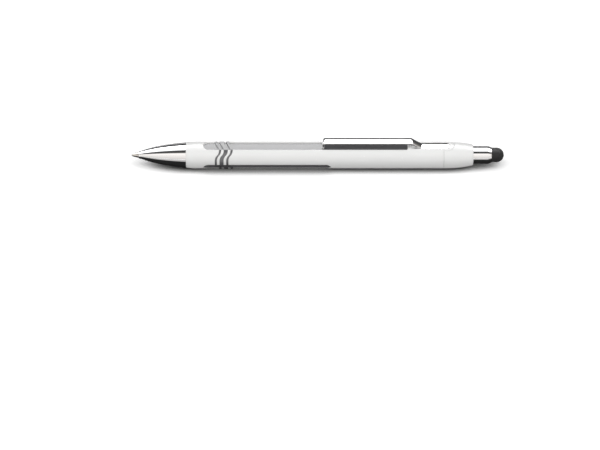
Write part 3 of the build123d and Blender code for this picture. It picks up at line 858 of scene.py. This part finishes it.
def face_bars(outer, overlap=0.0):
    """The bars let into one white face, between its two lips."""
    first, last = lip_angle() - overlap, CHANNEL_STEP - lip_angle() + overlap
    inner = BODY_RADIUS - barrel_sizes().band_depth
    return [
        band_rings(station, width, first, last, inner, outer)
        for station, width in zip(BAND_STATIONS, BAND_WIDTHS)
    ]


def ridge_bars():
    """The flat bars that stand on a channel's floor, up to its lips."""
    sizes = barrel_sizes()
    foot = sizes.channel_floor - sizes.inlay_thickness / 2
    lip = lip_angle()
    top = BODY_RADIUS * math.cos(lip)
    return [
        band_rings(station, width, -lip, lip, foot, top, flat=True)
        for station, width in zip(BAND_STATIONS, BAND_WIDTHS)
    ]


def arc_radius(run, end_radius, along):
    """The body's radius along an arc that leaves it straight and ends at another radius after a run."""
    drop = BODY_RADIUS - end_radius
    bend = (run ** 2 + drop ** 2) / (2 * drop)
    return BODY_RADIUS - bend + math.sqrt(bend ** 2 - along ** 2)


def cap_arc():
    """Where the end cap's drawn-in part starts and stops."""
    sizes = barrel_sizes()
    return CAP_FRONT - sizes.parting_gap + sizes.cap_straight, CAP_BACK - sizes.cap_bevel


def cap_radius(station):
    """The end cap's radius at a station: straight, then drawn in along an arc."""
    start, end = cap_arc()
    return arc_radius(end - start, barrel_sizes().cap_back_radius, max(station - start, 0))


def cap_profile():
    """The end cap's outer line from its straight part to its rear edge."""
    sizes = barrel_sizes()
    start, end = cap_arc()
    stations = [start + (end - start) * step / CURVE_STEPS for step in range(CURVE_STEPS + 1)]
    line = [(station, cap_radius(station)) for station in stations]
    return line + [(CAP_BACK, sizes.cap_back_radius - sizes.cap_bevel)]


def tongue_plan(margin):
    """The plan of the barrel's round-ended tongue, with a margin for the notch that takes it."""
    sizes = barrel_sizes()
    width = sizes.tongue_width + 2 * margin
    start = CAP_FRONT - sizes.tongue_width
    end = CLIP_BACK + sizes.tongue_past_clip + margin
    corner = width / 2 - TONGUE_FLAT
    return plank(start, end, width, corner, corner, ROUND_END_STEPS)


def barrel_outline():
    """The barrel's turned outline: its rounded front edge, its outside, its bores and its socket."""
    sizes = barrel_sizes()
    outline = []
    for step in range(CURVE_STEPS + 1):
        along = sizes.shoulder * (1 - step / CURVE_STEPS)
        radius = arc_radius(sizes.shoulder, sizes.front_radius, along)
        outline.append((BARREL_FRONT + sizes.shoulder - along, radius))
    outline += [spot for spot in cap_profile() if spot[0] < NECK_BACK]
    cam_seat = CAM_BACK - sizes.cam_flange
    socket_back = SPIGOT_BACK + sizes.socket_gap
    return outline + [
        (NECK_BACK, cap_radius(NECK_BACK)), (NECK_BACK, sizes.rear_bore),
        (cam_seat, sizes.rear_bore), (cam_seat, sizes.bore),
        (socket_back, sizes.bore), (socket_back, sizes.socket), (BARREL_FRONT, sizes.socket),
    ]


def neck_room():
    """The room that the end cap takes round the barrel's neck, without the tongue."""
    sizes = barrel_sizes()
    parting = CAP_FRONT - sizes.parting_gap
    outside = 2 * BODY_RADIUS
    ring = lathe("neck_room", [
        (parting, sizes.neck_radius), (parting, outside),
        (CAP_BACK, outside), (CAP_BACK, sizes.neck_radius)])
    return carved(ring, [prism("tongue", tongue_plan(0), 0, 3 * BODY_RADIUS)])


def clip_rooms():
    """The recess round the clip's root and the hole for its tang."""
    sizes, metal = barrel_sizes(), metal_sizes()
    room = sizes.parting_gap
    recess_front = CLIP_HINGE - metal.clip_bend_run - metal.clip_step - metal.recess_lead
    recess_back = CLIP_BACK + metal.clip_gap
    width = metal.clip_width + 2 * metal.clip_gap
    floor = metal.clip_root_top - metal.clip_thickness - room
    recess = plank(
        recess_front, recess_back, width, sizes.end_corner, metal.clip_width / 2, ROUND_END_STEPS)
    tang_front = CLIP_HINGE + metal.tang_offset - room
    tang_back = tang_front + metal.tang_length + 2 * room
    hole = plank(tang_front, tang_back, metal.tang_width + 2 * room, 0, 0)
    return [
        prism("recess", recess, floor, 2 * BODY_RADIUS),
        prism("tang_hole", hole, metal.tang_bottom - room, metal.clip_root_top),
    ]


def barrel_mesh():
    """The white barrel: a turned body with its neck, channels, band grooves and clip rooms cut out."""
    cutters = [neck_room()] + [channel_mesh(index) for index in range(CHANNELS)]
    for index in range(CHANNELS):
        for bar in face_bars(BODY_RADIUS + GROOVE_RISE, GROOVE_OVERLAP):
            cutters.append(stacked("groove", bar, roll=index * CHANNEL_STEP))
    return carved(lathe("barrel_shell", barrel_outline()), cutters + clip_rooms())


def cap_mesh():
    """The white end cap, with the notch that takes the barrel's tongue."""
    sizes = barrel_sizes()
    neck_end = NECK_BACK + sizes.parting_gap
    outline = [(CAP_FRONT, sizes.neck_radius), (CAP_FRONT, BODY_RADIUS)] + cap_profile()
    outline += [(CAP_BACK, sizes.cap_bore), (neck_end, sizes.cap_bore), (neck_end, sizes.neck_radius)]
    notch = prism("notch", tongue_plan(sizes.parting_gap), 0, 2 * BODY_RADIUS)
    return carved(lathe("end_cap", outline), [notch])


def nose_ogive():
    """The nose's outer curve from its front bevel to the barrel."""
    sizes = metal_sizes()
    bevel_back = NOSE_FRONT + sizes.bevel_length
    third = (BARREL_FRONT - bevel_back) / 3
    handles = [
        Vector((bevel_back, sizes.bevel_radius)),
        Vector((bevel_back + third, sizes.bevel_radius + third * OGIVE_FRONT_SLOPE)),
        Vector((BARREL_FRONT - third, sizes.nose_back_radius - third * OGIVE_BACK_SLOPE)),
        Vector((BARREL_FRONT, sizes.nose_back_radius)),
    ]
    curve = []
    for step in range(CURVE_STEPS):
        share = step / CURVE_STEPS
        rest = 1 - share
        spot = handles[0] * rest ** 3 + handles[1] * 3 * rest ** 2 * share
        spot += handles[2] * 3 * rest * share ** 2 + handles[3] * share ** 3
        curve.append((spot.x, spot.y, 0))
    return curve


def nose_mesh():
    """The nose's ogive, rim, bore, spring pocket and the core of its spigot."""
    sizes = metal_sizes()
    bore_front = BARREL_FRONT - sizes.ear_room
    seat = NOSE_FRONT + sizes.spring_seat
    return lathe("nose_cone", rounded(nose_ogive() + [
        (BARREL_FRONT, sizes.nose_back_radius, NOSE_EDGE),
        (BARREL_FRONT, sizes.spigot_core, 0), (SPIGOT_BACK, sizes.spigot_core, SPIGOT_EDGE),
        (SPIGOT_BACK, sizes.spigot_bore, 0), (bore_front, sizes.spigot_bore, 0),
        (bore_front - POCKET_TAPER, sizes.spring_pocket, 0),
        (seat, sizes.spring_pocket, 0), (seat, sizes.nose_hole, 0),
        (NOSE_FRONT, sizes.nose_hole, NOSE_HOLE_EDGE), (NOSE_FRONT, sizes.rim_radius, NOSE_EDGE),
    ]))


def strip_section(half_width, thickness, edge):
    """The clip's rounded section, as offsets across the strip and through its thickness."""
    edge = min(edge, half_width * CLIP_EDGE_MOST)
    half = thickness / 2
    crown = 2 * metal_sizes().clip_crown
    shoulder = half - half_width ** 2 / crown
    corners = [(-half_width, -half, edge), (half_width, -half, edge), (half_width, shoulder, edge)]
    for step in range(CROWN_STEPS + 1):
        across = (half_width - edge) * CLIP_CROWN_REACH * (1 - 2 * step / CROWN_STEPS)
        corners.append((across, half - across ** 2 / crown, 0))
    return rounded(corners + [(-half_width, shoulder, edge)])


def clip_route():
    """Points along the clip's middle, from its lip to its round root."""
    sizes = metal_sizes()
    half = sizes.clip_thickness / 2
    leaf = CLIP_TOP - half
    root = sizes.clip_root_top - half
    step_back = CLIP_HINGE - sizes.clip_bend_run
    corners = [
        (CLIP_FRONT + half, CLIP_LIP_BOTTOM, 0),
        (CLIP_FRONT + half, leaf, sizes.clip_lip_bend),
        (step_back - sizes.clip_step, leaf, sizes.clip_step_bend),
        (step_back, root, sizes.clip_step_bend),
        (CLIP_BACK, root, 0),
    ]
    line = [Vector(spot) for spot in rounded(corners, BEND_STEPS)]
    route = []
    for first, second in zip(line, line[1:]):
        parts = max(1, int((second - first).length / ROUTE_STEP))
        route += [first.lerp(second, part / parts) for part in range(parts)]
    round_front = CLIP_BACK - sizes.clip_width / 2
    route = [spot for spot in route if spot.x < round_front or spot.y > root + half]
    for step in range(CURVE_STEPS):
        turn = math.pi / 2 * step / CURVE_STEPS
        route.append(Vector((round_front + sizes.clip_width / 2 * math.sin(turn), root)))
    return route


def clip_mesh():
    """The clip as one bent strip with a round root, and the tang under it."""
    sizes = metal_sizes()
    route = clip_route()
    round_front = CLIP_BACK - sizes.clip_width / 2
    rings = []
    for index, spot in enumerate(route):
        heading = (route[min(index + 1, len(route) - 1)] - route[max(index - 1, 0)]).normalized()
        half_width = sizes.clip_width / 2
        if spot.x > round_front:
            half_width = math.sqrt(max(half_width ** 2 - (spot.x - round_front) ** 2, 0))
        section = strip_section(half_width, sizes.clip_thickness, sizes.clip_edge)
        rings.append([
            (spot.x - heading.y * up, across, spot.y + heading.x * up) for across, up in section])
    tang_front = CLIP_HINGE + sizes.tang_offset
    tang = prism(
        "tang", plank(tang_front, tang_front + sizes.tang_length, sizes.tang_width, 0, 0),
        sizes.tang_bottom, sizes.clip_root_top - sizes.clip_thickness / 2)
    return carved(stacked("pocket_clip", rings), [tang], "UNION")


def button_mesh():
    """The button's plated tube, drawn in at its rear end to hold the dome."""
    sizes = metal_sizes()
    bore = BUTTON_RADIUS - sizes.button_wall
    lip_bore = sizes.dome_neck + DOME_NECK_PLAY
    lip_front = BUTTON_BACK - sizes.button_lip
    return lathe("button_sleeve", rounded([
        (BUTTON_FRONT, bore, 0), (BUTTON_FRONT, BUTTON_RADIUS, BUTTON_FRONT_EDGE),
        (BUTTON_BACK - sizes.button_chamfer, BUTTON_RADIUS, BUTTON_SHOULDER),
        (BUTTON_BACK, sizes.button_end_radius, BUTTON_REAR_EDGE),
        (BUTTON_BACK, lip_bore, BUTTON_LIP_EDGE), (lip_front, lip_bore, 0), (lip_front, bore, 0)]))


def dome_mesh():
    """The hollow rubber dome with its neck and the flange inside the button."""
    sizes = metal_sizes()
    lip_front = DOME_FRONT + sizes.dome_flange
    outer, inner = sizes.dome_radius, sizes.dome_radius - sizes.dome_wall
    bore = sizes.dome_neck - sizes.dome_wall
    centre = PEN_BACK - outer
    flange = BUTTON_RADIUS - sizes.button_wall - DOME_FLANGE_PLAY
    outline = [
        (DOME_FRONT, bore), (DOME_FRONT, flange), (lip_front, flange), (lip_front, sizes.dome_neck),
        (BUTTON_BACK, sizes.dome_neck), (BUTTON_BACK, outer - DOME_EDGE),
        (BUTTON_BACK + DOME_EDGE_MIDDLE, outer - DOME_EDGE_MIDDLE), (BUTTON_BACK + DOME_EDGE, outer),
    ]
    turns = [math.pi / 2 * step / CURVE_STEPS for step in range(CURVE_STEPS + 1)]
    outline += [(centre + outer * math.sin(turn), outer * math.cos(turn)) for turn in turns]
    outline += [(centre + inner * math.sin(turn), inner * math.cos(turn)) for turn in reversed(turns)]
    return lathe("stylus_dome", outline + [(BUTTON_BACK, inner), (BUTTON_BACK, bore)])


def point_mesh():
    """The refill's turned point, with the socket's lip closed round the ball."""
    sizes = metal_sizes()
    collar_back = POINT_BACK - sizes.shank
    centre = sizes.ball_radius
    play = sizes.ball_radius + BALL_PLAY
    first = math.acos((centre - POINT_FRONT) / play)
    last = math.pi - math.asin(INK_PASSAGE / play)
    turns = [first + (last - first) * step / CURVE_STEPS for step in range(CURVE_STEPS + 1)]
    socket = [
        (centre - play * math.cos(turn), play * math.sin(turn), 0) for turn in reversed(turns)]
    return lathe("refill_point", rounded([
        (POINT_FRONT, sizes.socket_lip, POINT_LIP_EDGE),
        (POINT_FRONT + sizes.point_cone, POINT_RADIUS, POINT_CONE_ROUNDING),
        (collar_back, POINT_RADIUS, POINT_COLLAR_EDGE), (collar_back, sizes.shank_radius, 0),
        (POINT_BACK, sizes.shank_radius, 0), (POINT_BACK, INK_PASSAGE, 0),
    ] + socket), POINT_STEPS)


def ball_mesh():
    """The writing ball."""
    radius = metal_sizes().ball_radius
    shape = bmesh.new()
    bmesh.ops.create_icosphere(shape, subdivisions=BALL_DIVISIONS, radius=radius)
    mesh = bpy.data.meshes.new("writing_ball")
    shape.to_mesh(mesh)
    shape.free()
    mesh.transform(Matrix.Translation((radius, 0, 0)))
    return mesh


# Operators

class PEN_OT_nose(bpy.types.Operator):
    """Builds the plated nose with its threaded spigot"""
    bl_idname = "pen.nose"
    bl_label = "Nose"

    def execute(self, context):
        sizes = metal_sizes()
        chrome = slot_finish("chrome_plate")
        settle(placed("nose_cone_plated", nose_mesh(), chrome), "nose", "chrome_plate", "nose_cone")
        start = BARREL_FRONT + sizes.thread_pitch
        turns = int((SPIGOT_BACK - start) / sizes.thread_pitch) - 1
        tree, keys = coil_tree()
        ridge = grown("nose_thread", tree, keys, {
            "Turns": turns, "Start": start, "End Pitch": sizes.thread_pitch, "Pitch": sizes.thread_pitch,
            "Radius": sizes.spigot_core + THREAD_LIFT, "Wire": sizes.thread_radius,
            "Steps": THREAD_STEPS, "Sides": THREAD_SIDES, "Material": chrome})
        settle(placed("nose_thread", ridge, chrome), "nose", "chrome_plate")
        return {"FINISHED"}


class PEN_OT_barrel(bpy.types.Operator):
    """Builds the white barrel and its end cap"""
    bl_idname = "pen.barrel"
    bl_label = "Barrel"

    def execute(self, context):
        white = slot_finish("white_shell")
        settle(placed("barrel_moulding", barrel_mesh(), white), "barrel", "white_shell", "barrel_shell")
        settle(placed("end_cap_moulding", cap_mesh(), white), "barrel", "white_shell", "end_cap")
        return {"FINISHED"}


class PEN_OT_inlay(bpy.types.Operator):
    """Builds the grey strips in the channels and the wavy bands across the grip"""
    bl_idname = "pen.inlay"
    bl_label = "Inlay"

    def execute(self, context):
        grey = slot_finish("grey_inlay")
        shape = bmesh.new()
        for index in range(CHANNELS):
            shape.from_mesh(strip_mesh(index))
        strips = bpy.data.meshes.new("channel_strips")
        shape.to_mesh(strips)
        shape.free()
        settle(placed("channel_strips", strips, grey), "barrel", "grey_inlay", "grip_inlay")
        sector = stacked("grip_bands", *face_bars(BODY_RADIUS), *ridge_bars())
        tree, keys = rolled_tree()
        bands = grown("grip_bands", tree, keys, {"Copies": CHANNELS, "Material": grey}, sector)
        settle(placed("grip_bands", bands, grey), "barrel", "grey_inlay", "grip_inlay")
        return {"FINISHED"}


class PEN_OT_clip(bpy.types.Operator):
    """Builds the pocket clip as one springing strip"""
    bl_idname = "pen.clip"
    bl_label = "Clip"

    def execute(self, context):
        clip = placed("pocket_clip", clip_mesh(), slot_finish("chrome_plate"))
        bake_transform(clip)
        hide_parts("clip_root", "clip_arm")
        return {"FINISHED"}


class PEN_OT_button(bpy.types.Operator):
    """Builds the push button and the touch dome on it"""
    bl_idname = "pen.button"
    bl_label = "Button"

    def execute(self, context):
        sleeve = placed("button_tube", button_mesh(), slot_finish("chrome_plate"))
        settle(sleeve, "button", "chrome_plate", "button_sleeve")
        dome = placed("touch_dome", dome_mesh(), slot_finish("black_rubber"))
        settle(dome, "button", "black_rubber", "stylus_dome")
        return {"FINISHED"}


class PEN_OT_refill(bpy.types.Operator):
    """Builds the refill's point, its ball and the return spring"""
    bl_idname = "pen.refill"
    bl_label = "Refill"

    def execute(self, context):
        sizes = metal_sizes()
        tip = placed("turned_point", point_mesh(), slot_finish("point_metal"))
        settle(tip, "refill", "point_metal", "refill_point")
        steel = slot_finish("spring_steel")
        settle(placed("writing_ball_steel", ball_mesh(), steel), "refill", "spring_steel", "writing_ball")
        wire = sizes.spring_wire / 2
        start, end = SPRING_FRONT + wire, SPRING_BACK - wire
        inner_turns = sizes.spring_turns - 2
        pitch = (end - start - 2 * sizes.spring_end_pitch) / inner_turns
        tree, keys = coil_tree()
        coil = grown("spring_coil", tree, keys, {
            "Turns": sizes.spring_turns, "Start": start, "End Pitch": sizes.spring_end_pitch,
            "Pitch": pitch, "Radius": SPRING_RADIUS - wire, "Wire": wire,
            "Steps": SPRING_STEPS, "Sides": SPRING_SIDES, "Material": steel})
        spring = placed("spring_coil", coil, steel)
        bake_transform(spring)
        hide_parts("return_spring")
        return {"FINISHED"}


class PEN_OT_mechanism(bpy.types.Operator):
    """Gives the inner pieces that stay as packed their finishes"""
    bl_idname = "pen.mechanism"
    bl_label = "Mechanism"

    def execute(self, context):
        for row in frame["record"]["subparts"]:
            node = frame["nodes"][row["node"]]
            if node.hide_render:
                continue
            node.data.materials.clear()
            node.data.materials.append(slot_finish(row["material_slot"]))
        return {"FINISHED"}


# Brightness of the studio by its angle over the pen, from the front horizon to the back one.
# What lights the pen is a soft box overhead; what the plating mirrors is its front fill, a dark
# gap, the box with its hot rear edge, and the dark back wall.
STUDIO_LIGHT = (
    (0, 0.3), (30, 0.55), (50, 0.95), (65, 1.55), (82, 1.9), (95, 1.5), (110, 0.6), (140, 0.3),
    (180, 0.2))
STUDIO_MIRRORED = (
    (0, 0.85), (50, 1.3), (57, 1.25), (64, 0.07), (86, 0.07), (91, 1.5), (104, 2.2), (116, 6.0),
    (139, 6.0), (146, 0.08), (180, 0.08))
# Degrees up to which the front fill is tinted
FILL_TOP = 60
PLAIN_TINT = (1, 1, 1)
# How far sideways a mirrored ray has to go to fade into the end walls
END_WALL_FROM, END_WALL_FULL = 0.66, 0.8
# The share of open sky, from ambient occlusion, at which the shade painted into the table's colour is
# deepest, and at which it ends
PAINTED_SHADE_FULL, PAINTED_SHADE_END = 0.17, 0.57
PAINTED_SHADE_DEEPEST = 0.05
# Half of the table's width, the cards round the pen, and how far the camera sees, in metres
TABLE_REACH = 3.0
CARD_PAST_ENDS = 50 * MM
CARD_REACH = 80 * MM
CARD_EDGE = 12 * MM
CARD_LIFT = 0.02 * MM
# Where the cards' painted dark reflection gives way to pale, across the pen
CARD_DARK_TO, CARD_PALE_FROM = -16.5 * MM, -20.5 * MM
VIEW_REACH = 20.0


def studio_world(stage):
    """The studio's light, what the plating mirrors of it, and a white backdrop for the camera."""
    world = bpy.data.worlds.new("studio")
    bpy.context.scene.world = world
    world.use_nodes = True
    tree = world.node_tree
    tree.nodes.clear()
    way = add(tree, "ShaderNodeSeparateXYZ", {
        "Vector": add(tree, "ShaderNodeTexCoord").outputs["Generated"]}).outputs
    front = add(tree, "ShaderNodeMath", {0: way["Y"], 1: -1.0}, operation="MULTIPLY")
    height = add(tree, "ShaderNodeMath", {0: way["Z"], 1: front.outputs[0]}, operation="ARCTAN2")
    share = add(tree, "ShaderNodeMapRange", {
        "Value": height.outputs[0], "From Min": -math.pi, "From Max": math.pi})
    shades = []
    for levels, tint in ((STUDIO_LIGHT, PLAIN_TINT), (STUDIO_MIRRORED, linear(stage.fill_light)[:3])):
        brightest = max(level for degrees, level in levels)
        ramp = add(tree, "ShaderNodeValToRGB", {"Fac": share.outputs[0]})
        stops = ramp.color_ramp.elements
        while len(stops) < len(levels):
            stops.new(0.5)
        for stop, (degrees, level) in zip(stops, levels):
            shade = tint if degrees < FILL_TOP else PLAIN_TINT
            stop.position = (degrees + 180) / 360
            stop.color = [level / brightest * channel for channel in shade] + [1]
        shades.append(ramp.outputs[0])
    light, mirrored = shades
    sideways = add(tree, "ShaderNodeMath", {0: way["X"]}, operation="ABSOLUTE")
    end_share = add(tree, "ShaderNodeMapRange", {
        "Value": sideways.outputs[0], "From Min": END_WALL_FROM, "From Max": END_WALL_FULL})
    walls = add(tree, "ShaderNodeMix", {
        0: end_share.outputs[0], 6: mirrored, 7: shaded(stage.end_wall, 1 / stage.hot_edge)},
        data_type="RGBA")
    ray = add(tree, "ShaderNodeLightPath").outputs
    lit = add(tree, "ShaderNodeBackground", {"Color": light, "Strength": stage.light})
    seen = add(tree, "ShaderNodeBackground", {"Color": walls.outputs[2], "Strength": stage.hot_edge})
    backdrop = add(tree, "ShaderNodeBackground", {"Color": (1, 1, 1, 1), "Strength": 1.0})
    studio = add(tree, "ShaderNodeMixShader", {
        0: ray["Is Glossy Ray"], 1: lit.outputs[0], 2: seen.outputs[0]})
    mixed = add(tree, "ShaderNodeMixShader", {
        0: ray["Is Camera Ray"], 1: studio.outputs[0], 2: backdrop.outputs[0]})
    add(tree, "ShaderNodeOutputWorld", {"Surface": mixed.outputs[0]})


def studio_table(stage):
    """Matt paper: a white background to the camera and to the plating, that keeps the pen's real shadow,
    darkened round the pen by painted shade from ambient occlusion.
    """
    material = bpy.data.materials.new("studio_table")
    material.use_nodes = True
    tree = material.node_tree
    tree.nodes.clear()
    ray = add(tree, "ShaderNodeLightPath").outputs
    mirrors = add(tree, "ShaderNodeMath", {
        0: ray["Is Glossy Ray"], 1: ray["Is Transmission Ray"]}, operation="MAXIMUM")
    shown = add(tree, "ShaderNodeMath", {
        0: ray["Is Camera Ray"], 1: mirrors.outputs[0]}, operation="MAXIMUM")
    # Painted shade: ambient occlusion darkens the table's colour round the pen, for the camera and the
    # plating
    painted_shade_occlusion = add(tree, "ShaderNodeAmbientOcclusion", {"Distance": stage.painted_shade_reach})
    painted_shade_share = add(tree, "ShaderNodeMapRange", {
        "Value": painted_shade_occlusion.outputs["AO"], "From Min": PAINTED_SHADE_FULL, "From Max": PAINTED_SHADE_END,
        "To Min": PAINTED_SHADE_DEEPEST, "To Max": 1.0})
    background = add(tree, "ShaderNodeMix", {
        0: painted_shade_share.outputs[0], 6: (0, 0, 0, 1), 7: shaded(stage.floor, stage.floor_gain)},
        data_type="RGBA")
    colour = add(tree, "ShaderNodeMix", {
        0: shown.outputs[0], 6: linear(stage.floor), 7: background.outputs[2]}, data_type="RGBA")
    sheet = add(tree, "ShaderNodeBsdfDiffuse", {"Color": colour.outputs[2]})
    add(tree, "ShaderNodeOutputMaterial", {"Surface": sheet.outputs[0]})
    return material


def painted_reflection_card(stage):
    """A card that only the plating mirrors, fading from a painted dark reflection under the pen to pale in
    front of it.
    """
    material, tree, shader = surface("painted_reflection_card", {"Roughness": 1.0, "Specular IOR Level": 0.0})
    place = add(tree, "ShaderNodeTexCoord")
    spot = add(tree, "ShaderNodeSeparateXYZ", {"Vector": place.outputs["Object"]})
    share = add(tree, "ShaderNodeMapRange", {
        "Value": spot.outputs["Y"], "From Min": CARD_DARK_TO, "From Max": CARD_PALE_FROM})
    shade = add(tree, "ShaderNodeMix", {
        0: share.outputs[0], 6: linear(stage.flag), 7: linear(stage.card)}, data_type="RGBA")
    tree.links.new(shade.outputs[2], shader["Base Color"])
    return material


def stage_sheet(name, low, high, height, material):
    """A flat rectangle of the studio."""
    corners = ((low[0], low[1]), (high[0], low[1]), (high[0], high[1]), (low[0], high[1]))
    mesh = bpy.data.meshes.new(name)
    mesh.from_pydata(level_ring(corners, height), [], [(0, 1, 2, 3)])
    sheet = plain(name, mesh, material)
    return sheet


def studio_cards(stage):
    """Cards under the pen and behind its plated ends, which only the plating mirrors: painted dark
    reflections, fading to pale in front of the pen.
    """
    board = painted_reflection_card(stage)
    left, right = CAD_LOW.x - CARD_PAST_ENDS, CAD_HIGH.x + CARD_PAST_ENDS
    for name, low, high in (
            ("painted_reflection_card", (left, -CARD_REACH), (right, CARD_EDGE)),
            ("nose_card", (left, CARD_EDGE), (AXIS.x + BARREL_FRONT, CARD_REACH)),
            ("button_card", (AXIS.x + CAP_BACK, CARD_EDGE), (right, CARD_REACH))):
        card = stage_sheet(name, low, high, CAD_LOW.z + CARD_LIFT, board)
        # Only the plating sees these cards, as painted reflections
        card.visible_camera = False
        card.visible_diffuse = False
        card.visible_shadow = False
        card.visible_transmission = False


def studio_camera(stage):
    """A long lens at the photograph's angle, which keeps the pen in the upper half of the picture."""
    scene = bpy.context.scene
    lens = bpy.data.cameras.new("camera")
    lens.lens = stage.lens
    lens.clip_end = VIEW_REACH
    camera = bpy.data.objects.new("camera", lens)
    scene.collection.objects.link(camera)
    distance = stage.frame_width * stage.lens / lens.sensor_width
    pitch = stage.elevation + math.atan(stage.aim_below / distance)
    back = Vector((0, -math.cos(pitch), math.sin(pitch)))
    up = Vector((0, math.sin(pitch), math.cos(pitch)))
    middle = Vector(((CAD_LOW.x + CAD_HIGH.x) / 2, 0, AXIS.z))
    aim = middle - up * stage.aim_below - Vector((stage.aim_left, 0, 0))
    camera.location = aim + back * distance
    camera.rotation_euler = (math.pi / 2 - pitch, 0, 0)
    scene.camera = camera


class PEN_OT_stage(bpy.types.Operator):
    """Builds the studio: table, light and camera"""
    bl_idname = "pen.stage"
    bl_label = "Stage"

    def execute(self, context):
        stage = context.scene.pen_stage
        context.scene.view_settings.view_transform = "Standard"
        studio_world(stage)
        reach = (TABLE_REACH, TABLE_REACH)
        stage_sheet("table", (-TABLE_REACH, -TABLE_REACH), reach, CAD_LOW.z, studio_table(stage))
        studio_cards(stage)
        studio_camera(stage)
        return {"FINISHED"}


class PEN_PT_panel(bpy.types.Panel):
    """Lists the steps that build the pen"""
    bl_label = "Stylus Pen"
    bl_idname = "PEN_PT_panel"
    bl_space_type = "VIEW_3D"
    bl_region_type = "UI"
    bl_category = "Pen"

    def draw(self, context):
        for step in STEPS:
            self.layout.operator(step.bl_idname)
        for group in GROUPS:
            column = self.layout.column()
            settings = getattr(context.scene, group)
            for name in settings.__annotations__:
                column.prop(settings, name)


STEPS = (
    PEN_OT_nose, PEN_OT_barrel, PEN_OT_inlay, PEN_OT_clip, PEN_OT_button, PEN_OT_refill,
    PEN_OT_mechanism, PEN_OT_stage,
)
GROUPS = {
    "pen_barrel": PenBarrelSizes, "pen_metal": PenMetalSizes,
    "pen_finishes": PenFinishes, "pen_stage": PenStage,
}
CLASSES = tuple(GROUPS.values()) + STEPS + (PEN_PT_panel,)


def register():
    """Adds the pen's settings, steps and panel to Blender."""
    for made in CLASSES:
        bpy.utils.register_class(made)
    for name, group in GROUPS.items():
        setattr(bpy.types.Scene, name, PointerProperty(type=group))


def unregister():
    """Takes the pen's settings, steps and panel out of Blender."""
    for name in GROUPS:
        delattr(bpy.types.Scene, name)
    for made in reversed(CLASSES):
        bpy.utils.unregister_class(made)


def main():
    """Builds the whole pen with its studio."""
    register()
    bpy.ops.pen.nose()
    bpy.ops.pen.barrel()
    bpy.ops.pen.inlay()
    bpy.ops.pen.clip()
    bpy.ops.pen.button()
    bpy.ops.pen.refill()
    bpy.ops.pen.mechanism()
    bpy.ops.pen.stage()


if __name__ == "__main__":
    main()
